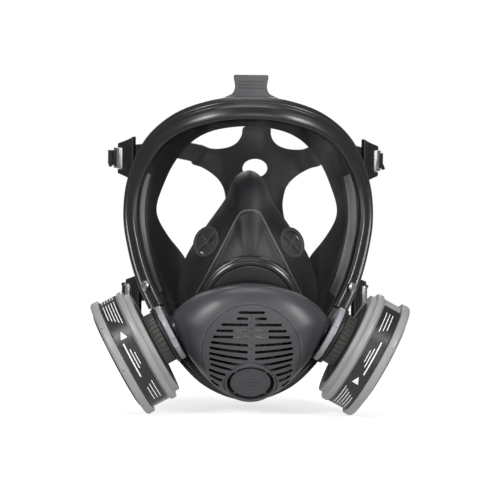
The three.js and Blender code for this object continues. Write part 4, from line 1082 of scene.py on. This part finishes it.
for side, name in SIDES:
    hub = HUBS[name]
    body = f"cartridge_{name}"
    put(connector(hub), f"inlet_ring_{name}", RING_GREY, f"connector_{name}")
    half = CONNECTOR["thick"] / 2
    put(disc(CONNECTOR["bore"] - 1.2, -half + 0.6, half - 0.4, 0.3, 72, hub),
        f"inhalation_flap_disc_{name}", FLAP,
        f"inhalation_valve_disc_{name}")
    low = half + GAP
    high = low + GASKET["thick"]
    put(tube(GASKET["radius"], GASKET["bore"], low, high, 0.9, 128, hub), f"inlet_seal_{name}", RUBBER,
        f"inlet_gasket_{name}")
    low = high + GAP
    put(grooved(COLLAR["radius"], COLLAR["bore"], low, low + COLLAR["length"], hub, 30, 0.7),
        f"screw_collar_{name}",
        BROWN, f"cartridge_collar_{name}")
    place = raised(hub, low + COLLAR["length"] + GAP)
    put(can_wall(place), f"canister_wall_{name}", CANISTER, f"cartridge_body_{name}")
    put(can_back(place), f"canister_back_{name}", DARK_DISC, body=body, slot="cartridge_grey")
    put(can_cap(place), f"canister_cap_{name}", CANISTER, f"cartridge_cap_{name}")
    put(can_inlet(place), f"canister_inlet_{name}", DARK_DISC, body=body, slot="cartridge_grey")
    low = CAN_AT["rim"] + GAP + 0.4
    middle_angle = -ARM["drop"] - LABEL["turn"] if side > 0 else ARM["drop"] - 180 - LABEL["turn"]
    start, sweep = middle_angle - LABEL["sweep"] / 2, LABEL["sweep"]
    inner = CAN["body"] + GAP
    put(wrapped(inner, inner + LABEL["thick"], low, low + LABEL["width"], start, start + sweep, place),
        f"canister_label_{name}", FILM, f"cartridge_label_{name}")
    put(label_print(place, low, start, sweep, pointer_up=side < 0),
        f"label_print_{name}", INK, body=body, slot="label_film")
    bed_top = CAN_AT["inlet"] - CAN["wall"] - 1.2 - GAP
    put(disc(CAN["body"] - CAN["wall"] - GAP, CAN_AT["rim"] - 1.6, bed_top, 0.4, 96, place),
        f"carbon_bed_{name}", CARBON,
        f"sorbent_bed_{name}")


# ---- lugs and buckles -----------------------------------------------------------------------
def basis(position, outward, pin):
    """Local frame with +Y along outward, +Z along the pin and +X through the plate."""
    out = Vector(outward).normalized()
    pin = Vector(pin)
    through = out.cross(pin).normalized()
    matrix = Matrix((through, out, pin)).transposed().to_4x4()
    return Matrix.Translation(Vector(position)) @ matrix


def round_bar(radius, start, end, place, segments=28):
    """A round-ended rod between two points."""
    a, b = np.array(start, float), np.array(end, float)
    length = float(np.linalg.norm(b - a))
    profile = rounded([(0, 0), (radius, 0), (radius, length), (0, length)], radius * 0.4)
    return lathe(profile, segments, place @ axis_frame(a, b - a))


def lug(place):
    half_root, half_tip, length, plate = LUG["root"] / 2, LUG["tip"] / 2, LUG["length"], LUG["plate"]
    w = np.linspace(0, 1, 9)
    flare = [(half_root + (half_tip - half_root) * v ** 0.75, length * v) for v in w]
    edge = rounded([(h, y) for h, y in flare] + [(-h, y) for h, y in flare[::-1]], 1.6, 4, closed=True)
    rows = []
    for x, k in ((-plate / 2, 0.7), (-plate / 2 + 0.7, 0), (plate / 2 - 0.7, 0), (plate / 2, 0.7)):
        rows.append([(x, length / 2 + (y - length / 2) * (1 - 2 * k / length), h * (1 - k / half_root))
                     for h, y in edge])
    body = loft(rows, False, place)
    notch = bar(plate + 3, LUG["notch"] + 1, LUG["tip"] - 2 * LUG["ear"],
                (0, length - LUG["notch"] / 2 + 1, 0), place, 0.8)
    ribs = [bar(0.9, 0.9, LUG["tip"] - 3 + 3 * i, (s * plate / 2, length - LUG["notch"] - 2.2 - 2.3 * i, 0),
                place, 0.25)
            for i in range(3) for s in (-1, 1)]
    return join(cut(body, notch), *ribs)


def pin_of(place, at_y, at_z=0.0, across="Z"):
    half = (LUG["tip"] - 1.4) / 2
    ends = ((0, at_y, -half), (0, at_y, half)) if across == "Z" else ((-half, at_y, at_z),
                                                                      (half, at_y, at_z))
    return round_bar(LUG["pin"], *ends, place=place)


def buckle_shape(place):
    """A wire loop with its roller, its far bar crossed by the strap."""
    width, reach = BUCKLE_WIDTH, BUCKLE["reach"]
    start, wire = BUCKLE["barrel"] - 0.9, BUCKLE["wire"]
    barrel = lathe(rounded([(BUCKLE["bore"], -width / 2), (BUCKLE["barrel"], -width / 2),
                            (BUCKLE["barrel"], width / 2),
                            (BUCKLE["bore"], width / 2)], 0.5, 3, closed=True), 40,
                            place @ Matrix.Rotation(rad(90), 4, "X"))
    sides = [bar(wire * 1.6, reach - start + wire / 2, wire,
                 (0, (start + reach + wire / 2) / 2, s * (width - wire) / 2), place, 0.55)
             for s in (-1, 1)]
    rails = [bar(wire * 1.6, wire, width - 0.2, (0, y, 0), place, 0.55) for y in (reach, 9.5)]
    return join(barrel, *sides, *rails)


SEATS = [("temple", (91, -2, 72), (0.7, 0.72, 0), (0.25, 0.97, 0)),
         ("cheek", (85.5, 9, -38), (0.6, 0.8, 0), (0.1, 0.99, 0))]
hangers = {}
crown_seat = Matrix.Translation((0, -36.5, 123))


def crown_lug():
    half_top, half_waist, height = CROWN["top"] / 2, CROWN["waist"] / 2, CROWN["height"]
    right = [(27, -3.6), (22, -1.8), (18, 0), (15.2, 1.2), (13.4, 3.2), (half_waist + 0.1, 6.5),
             (half_waist + 0.4, 10), (half_top, height - 3),
             (half_top, height)]
    edge = rounded(right + [(-x, z) for x, z in right[::-1]], 1.5, 4, closed=True)
    plate, rows = LUG["plate"], []
    for y, k in ((0, 0.035), (0.7, 0), (plate - 0.7, 0), (plate, 0.035)):
        rows.append([(x * (1 - k), y, height / 2 + (z - height / 2) * (1 - k)) for x, z in edge])
    tongue = loft(rows, False, crown_seat)
    depth = CROWN["pin_back"] + 3
    ears = [bar(LUG["ear"], depth, 7,
                (s * (LUG["tip"] / 2 - LUG["ear"] / 2), plate + depth / 2 - 1, CROWN["pin_up"]),
                crown_seat, 0.9) for s in (-1, 1)]
    ribs = [bar(CROWN["waist"] - 5, 0.9, 0.9, (0, 0, z), crown_seat, 0.25) for z in (6.5, 9, 11.5)]
    return join(tongue, *ears, *ribs)


pin_depth = LUG["plate"] + CROWN["pin_back"] - 1
# The crown tab carries the lighter rubber as a painted highlight on its face.
put(crown_lug(), "crown_lug", PAINTED_HIGHLIGHT_RUBBER, "strap_lug_crown", sharp=45)
put(pin_of(crown_seat, pin_depth, CROWN["pin_up"], "X"), "crown_lug_pin", STEEL, body="facepiece",
    slot="steel")
hangers["crown"] = ((0, -36.5 + pin_depth, 123 + CROWN["pin_up"]), (0, 1, 0.05), (1, 0, 0))
for kind, at, out, lean in SEATS:
    for side, which in SIDES:
        name = f"{kind}_{which}"
        flip = np.array([side, 1, 1])
        place = basis(at * flip, out * flip, (0, 0, 1))
        put(lug(place), f"{name}_lug", RUBBER, f"strap_lug_{name}", sharp=45)
        put(pin_of(place, LUG["length"] - 2.6), f"{name}_lug_pin", STEEL, body="facepiece", slot="steel")
        pivot = at * flip + unit(out) * flip * (LUG["length"] - 2.6)
        hangers[name] = (tuple(pivot), tuple(lean * flip), (0, 0, 1))

for name, (pivot, lean, pin) in hangers.items():
    put(buckle_shape(basis(pivot, lean, pin)), f"{name}_buckle", STEEL, f"buckle_{name}", sharp=40)


# ---- head harness ---------------------------------------------------------------------------
def head_y(x, z):
    (_, cy, cz), (rx, ry, rz) = HEAD["centre"], HEAD["radii"]
    return cy + ry * np.sqrt(np.maximum(0.02, 1 - (x / rx) ** 2 - ((z - cz) / rz) ** 2))


def harness_pad(stations=260):
    """The webbed rear pad: a thin curved sheet with a raised bead round its rim and its hole."""
    t = np.arange(stations) / stations
    rim = outline(PAD_OUTLINE)[0](t)
    angle = np.arctan2(rim[:, 0], rim[:, 2])
    hole = np.stack([PAD["hole_w"] * np.sin(angle), 0 * angle, PAD["hole_h"] * np.cos(angle)], -1)
    reach = np.linalg.norm(rim - hole, axis=1)
    thick, bead = STRAP_THICK, 0.55

    def at(distance, height):
        share = np.clip(distance, 0, reach) / reach
        p = hole + (rim - hole) * share[:, None]
        x, z = p[:, 0], p[:, 2] + PAD["z"]
        return np.stack([x + PAD["x"], head_y(x, z) + height, z], -1)

    spans = np.linspace(0, 1, 26)[1:-1]
    front = [at(0.5 + (reach - 1) * w, 0.0) for w in spans]
    outer = [at(4.2 + (reach - 8.4) * w, thick * 0.82) for w in spans[::-1]]
    loops = [at(0 * reach, 0.5), at(0 * reach + 0.4, 0.0), *front, at(reach - 0.4, 0.0), at(reach, 0.5),
             at(reach, thick - 0.3), at(reach - 0.5, thick + bead * 0.6), at(reach - 1.4, thick + bead),
             at(reach - 2.6, thick + bead * 0.8), at(reach - 3.6, thick * 0.85), *outer,
             at(0 * reach + 3.6, thick * 0.85), at(0 * reach + 2.6, thick + bead * 0.8),
             at(0 * reach + 1.4, thick + bead),
             at(0 * reach + 0.5, thick + bead * 0.6), at(0 * reach, thick - 0.3)]
    return loft(np.stack(loops, 1), endless=True)


put(harness_pad(), "rear_harness_pad", STRAP, "harness_pad", sharp=50)


def band_section(width, thick):
    """A flat strap's section with rounded edges, as (across, outward) pairs."""
    return np.array(rounded([(-width / 2, -thick / 2), (width / 2, -thick / 2), (width / 2, thick / 2),
                             (0.42 * width, thick / 2), (-0.42 * width, thick / 2),
                             (-width / 2, thick / 2)],
                            0.7, 3, closed=True))


def swept(centre, across, outward, section):
    """Rows of points: the section's (across, outward) pairs carried along a centre line."""
    across = np.reshape(across, (-1, 1, 3))
    return centre[:, None] + across * section[None, :, :1] + outward[:, None] * section[None, :, 1:]


def band_along(points, width, thick, steps, ribs=0.0):
    """A strap along a route; ribs is the share of its length that carries cross ribs on the outer face."""
    at, along = route(points)
    t = np.linspace(0, 1, steps)
    centre, forward = at(t), along(t)
    outward = centre - np.array(HEAD["centre"])
    outward = unit(outward - np.sum(outward * forward, 1)[:, None] * forward)
    side = np.cross(forward, outward)
    section = band_section(width, thick)
    length = float(np.sum(np.linalg.norm(np.diff(centre, axis=0), axis=1)))
    wave = 0.5 + 0.5 * np.cos(t * length / GRIP["pitch"] * TAU)
    swell = 0.5 * wave ** 2 * (t < ribs) * (t > 0.02)
    rows = swept(centre, side, outward, section)
    ribbed = (section[:, 1] > thick / 2 - 0.05) & (np.abs(section[:, 0]) < 0.45 * width)
    rows = rows + outward[:, None] * (swell[:, None] * ribbed[None, :])[..., None]
    return loft(rows)


def temples(side):
    x = PAD["x"]
    return [(side * 105.5, 44, 73.5), (side * 96, 50, 76), ((side * 157 + x) / 2, 57, 78.2),
            (x + side * 62, 64, 77.6), (x + side * 56.6, 70.5, 76.6), (x + side * 52.2, 76.6, 75.6),
            (x + side * 47.5, 82.2, 74.2)]


def cheeks(side):
    x = PAD["x"]
    return [(side * 89, 58, -39), (side * 78, 76, -38), (side * 60 + x / 2, 96, -33),
            (side * 36 + x, 116, -20),
            (side * 24.5 + x, 124.2, -6), (side * 21 + x, 126.4, 2.6), (side * 19.5 + x, 127.4, 9.0)]


ROUTES = {"crown": [(1, 20, 131), (4, 50, 125), (8, 73, 112), (PAD["x"], 85.6, 100.4),
                    (PAD["x"], 91.2, 94.0)],
          "temple_left": temples(-1), "temple_right": temples(1), "cheek_left": cheeks(-1),
          "cheek_right": cheeks(1)}
for name, points in ROUTES.items():
    pivot, lean, pin = hangers[name]
    lean = unit(lean)
    place = basis(pivot, lean, pin)
    width = STRAP_WIDTH["crown" if name == "crown" else "side"]
    free = BUCKLE_WIDTH - 2 * BUCKLE["wire"] - 1.2
    start = np.array(pivot) + lean * (BUCKLE["reach"] + 5)
    obj = band_along([start, *points], width, STRAP_THICK, 150, GRIP["share"])
    put(obj, f"{name}_strap", STRAP, f"strap_{name}", body="bends", sharp=50)
    far = np.array(points[2])
    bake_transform(obj)
    turn = BUCKLE["reach"]
    fold = [(0, turn + 12, 0), (1.2, turn + 6, 0), (2.2, turn + 1.5, 0), (1.6, turn - 2.6, 0),
            (-0.6, turn - 3.4, 0),
            (-2.4, turn - 1.0, 0), (-2.3, turn + 3, 0), (-2.0, turn + 14, 0)]
    at, along = route(fold)
    t = np.linspace(0, 1, 60)
    centre, forward = at(t), along(t)
    across_fold = np.array([0, 0, 1.0])
    out = np.cross(forward, across_fold)
    section = band_section(free, FOLD_THICK)
    rows = swept(centre, across_fold, out, section)
    put(loft(rows, False, place), f"{name}_strap_fold", STRAP, f"strap_end_{name}", sharp=50)


# ---- stage ----------------------------------------------------------------------------------
def lamp(name, place, aim, size, watts):
    data = bpy.data.lights.new(name, "AREA")
    data.shape, data.size, data.energy = "DISK", size, watts
    obj = bpy.data.objects.new(name, data)
    bpy.context.scene.collection.objects.link(obj)
    obj.location = place
    obj.rotation_euler = (Vector(aim) - Vector(place)).to_track_quat("-Z", "Y").to_euler()


lamp("key", (-1.3, -1.6, 1.1), (0, 0, 0.02), 0.8, 32)
lamp("fill", (1.5, -1.5, 0.9), (0, 0, 0), 0.7, 30)
lamp("front", (0.2, -2.3, 0.35), (0, 0, 0), 1.4, 11)
lamp("top", (0, -0.1, 1.5), (0, 0, 0), 1.1, 9)
lamp("back", (0, 1.6, 0.9), (0, 0, 0), 1.0, 12)

floor_paint = Paint("pale_floor")
floor_tone = floor_paint.ramp(floor_paint.noise(3, 3), (0.3, 0.9), (0.7, 0.93))
floor_paint.finish(floor_tone, floor_paint.ramp(floor_paint.noise(6, 3), (0.3, 0.8), (0.7, 0.9)))
span = floor_paint.node("ShaderNodeVectorMath", operation="LENGTH")
floor_paint.link(floor_paint.place, span.inputs[0])
fade = floor_paint.ramp(span.outputs["Value"], (0.2, 0.55), (0.6, 0.0))
floor_paint.link(fade, floor_paint.shader.inputs["Alpha"])
floor_paint.shader.inputs["Emission Color"].default_value = (1, 1, 1, 1)
floor_paint.shader.inputs["Emission Strength"].default_value = 0.45
low = min(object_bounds()[0].z, cad_box[0].z)
floor_mesh = bpy.data.meshes.new("floor")
reach = 30.0
floor_mesh.from_pydata([(-reach, -reach, low), (reach, -reach, low), (reach, reach, low),
                        (-reach, reach, low)],
                       [], [(0, 1, 2, 3)])
floor = bpy.data.objects.new("floor", floor_mesh)
floor.data.materials.append(floor_paint.material)
bpy.context.scene.collection.objects.link(floor)

world = bpy.data.worlds.new("studio")
bpy.context.scene.world = world
world.use_nodes = True
tree = world.node_tree
backdrop = tree.nodes["Background"]
backdrop.inputs["Strength"].default_value = 1.0
path = tree.nodes.new("ShaderNodeLightPath")
seen = tree.nodes.new("ShaderNodeMix")
seen.data_type = "RGBA"
seen.inputs[6].default_value = (0.24, 0.24, 0.245, 1)
seen.inputs[7].default_value = (1, 1, 1, 1)
tree.links.new(path.outputs["Is Camera Ray"], seen.inputs[0])
tree.links.new(seen.outputs[2], backdrop.inputs["Color"])
bpy.context.scene.view_settings.view_transform = "Standard"

CAMERA = dict(azimuth=-2.0, elevation=3.5, roll=0.7, distance=2.0, width=0.4, shift_x=0.002)
azimuth, elevation = rad(CAMERA["azimuth"]), rad(CAMERA["elevation"])
back = Vector((math.sin(azimuth) * math.cos(elevation), -math.cos(azimuth) * math.cos(elevation),
               math.sin(elevation)))
camera_data = bpy.data.cameras.new("camera")
camera_data.sensor_width = 36
camera_data.lens = 36 * CAMERA["distance"] / CAMERA["width"]
camera = bpy.data.objects.new("camera", camera_data)
bpy.context.scene.collection.objects.link(camera)
aim = Vector((CAMERA["shift_x"], 0, 0))
camera.rotation_mode = "QUATERNION"
camera.location = aim + back * CAMERA["distance"]
camera.rotation_quaternion = (-back).to_track_quat("-Z", "Y") @ Matrix.Rotation(rad(CAMERA["roll"]), 3,
                                                                                "Z").to_quaternion()
bpy.context.scene.camera = camera
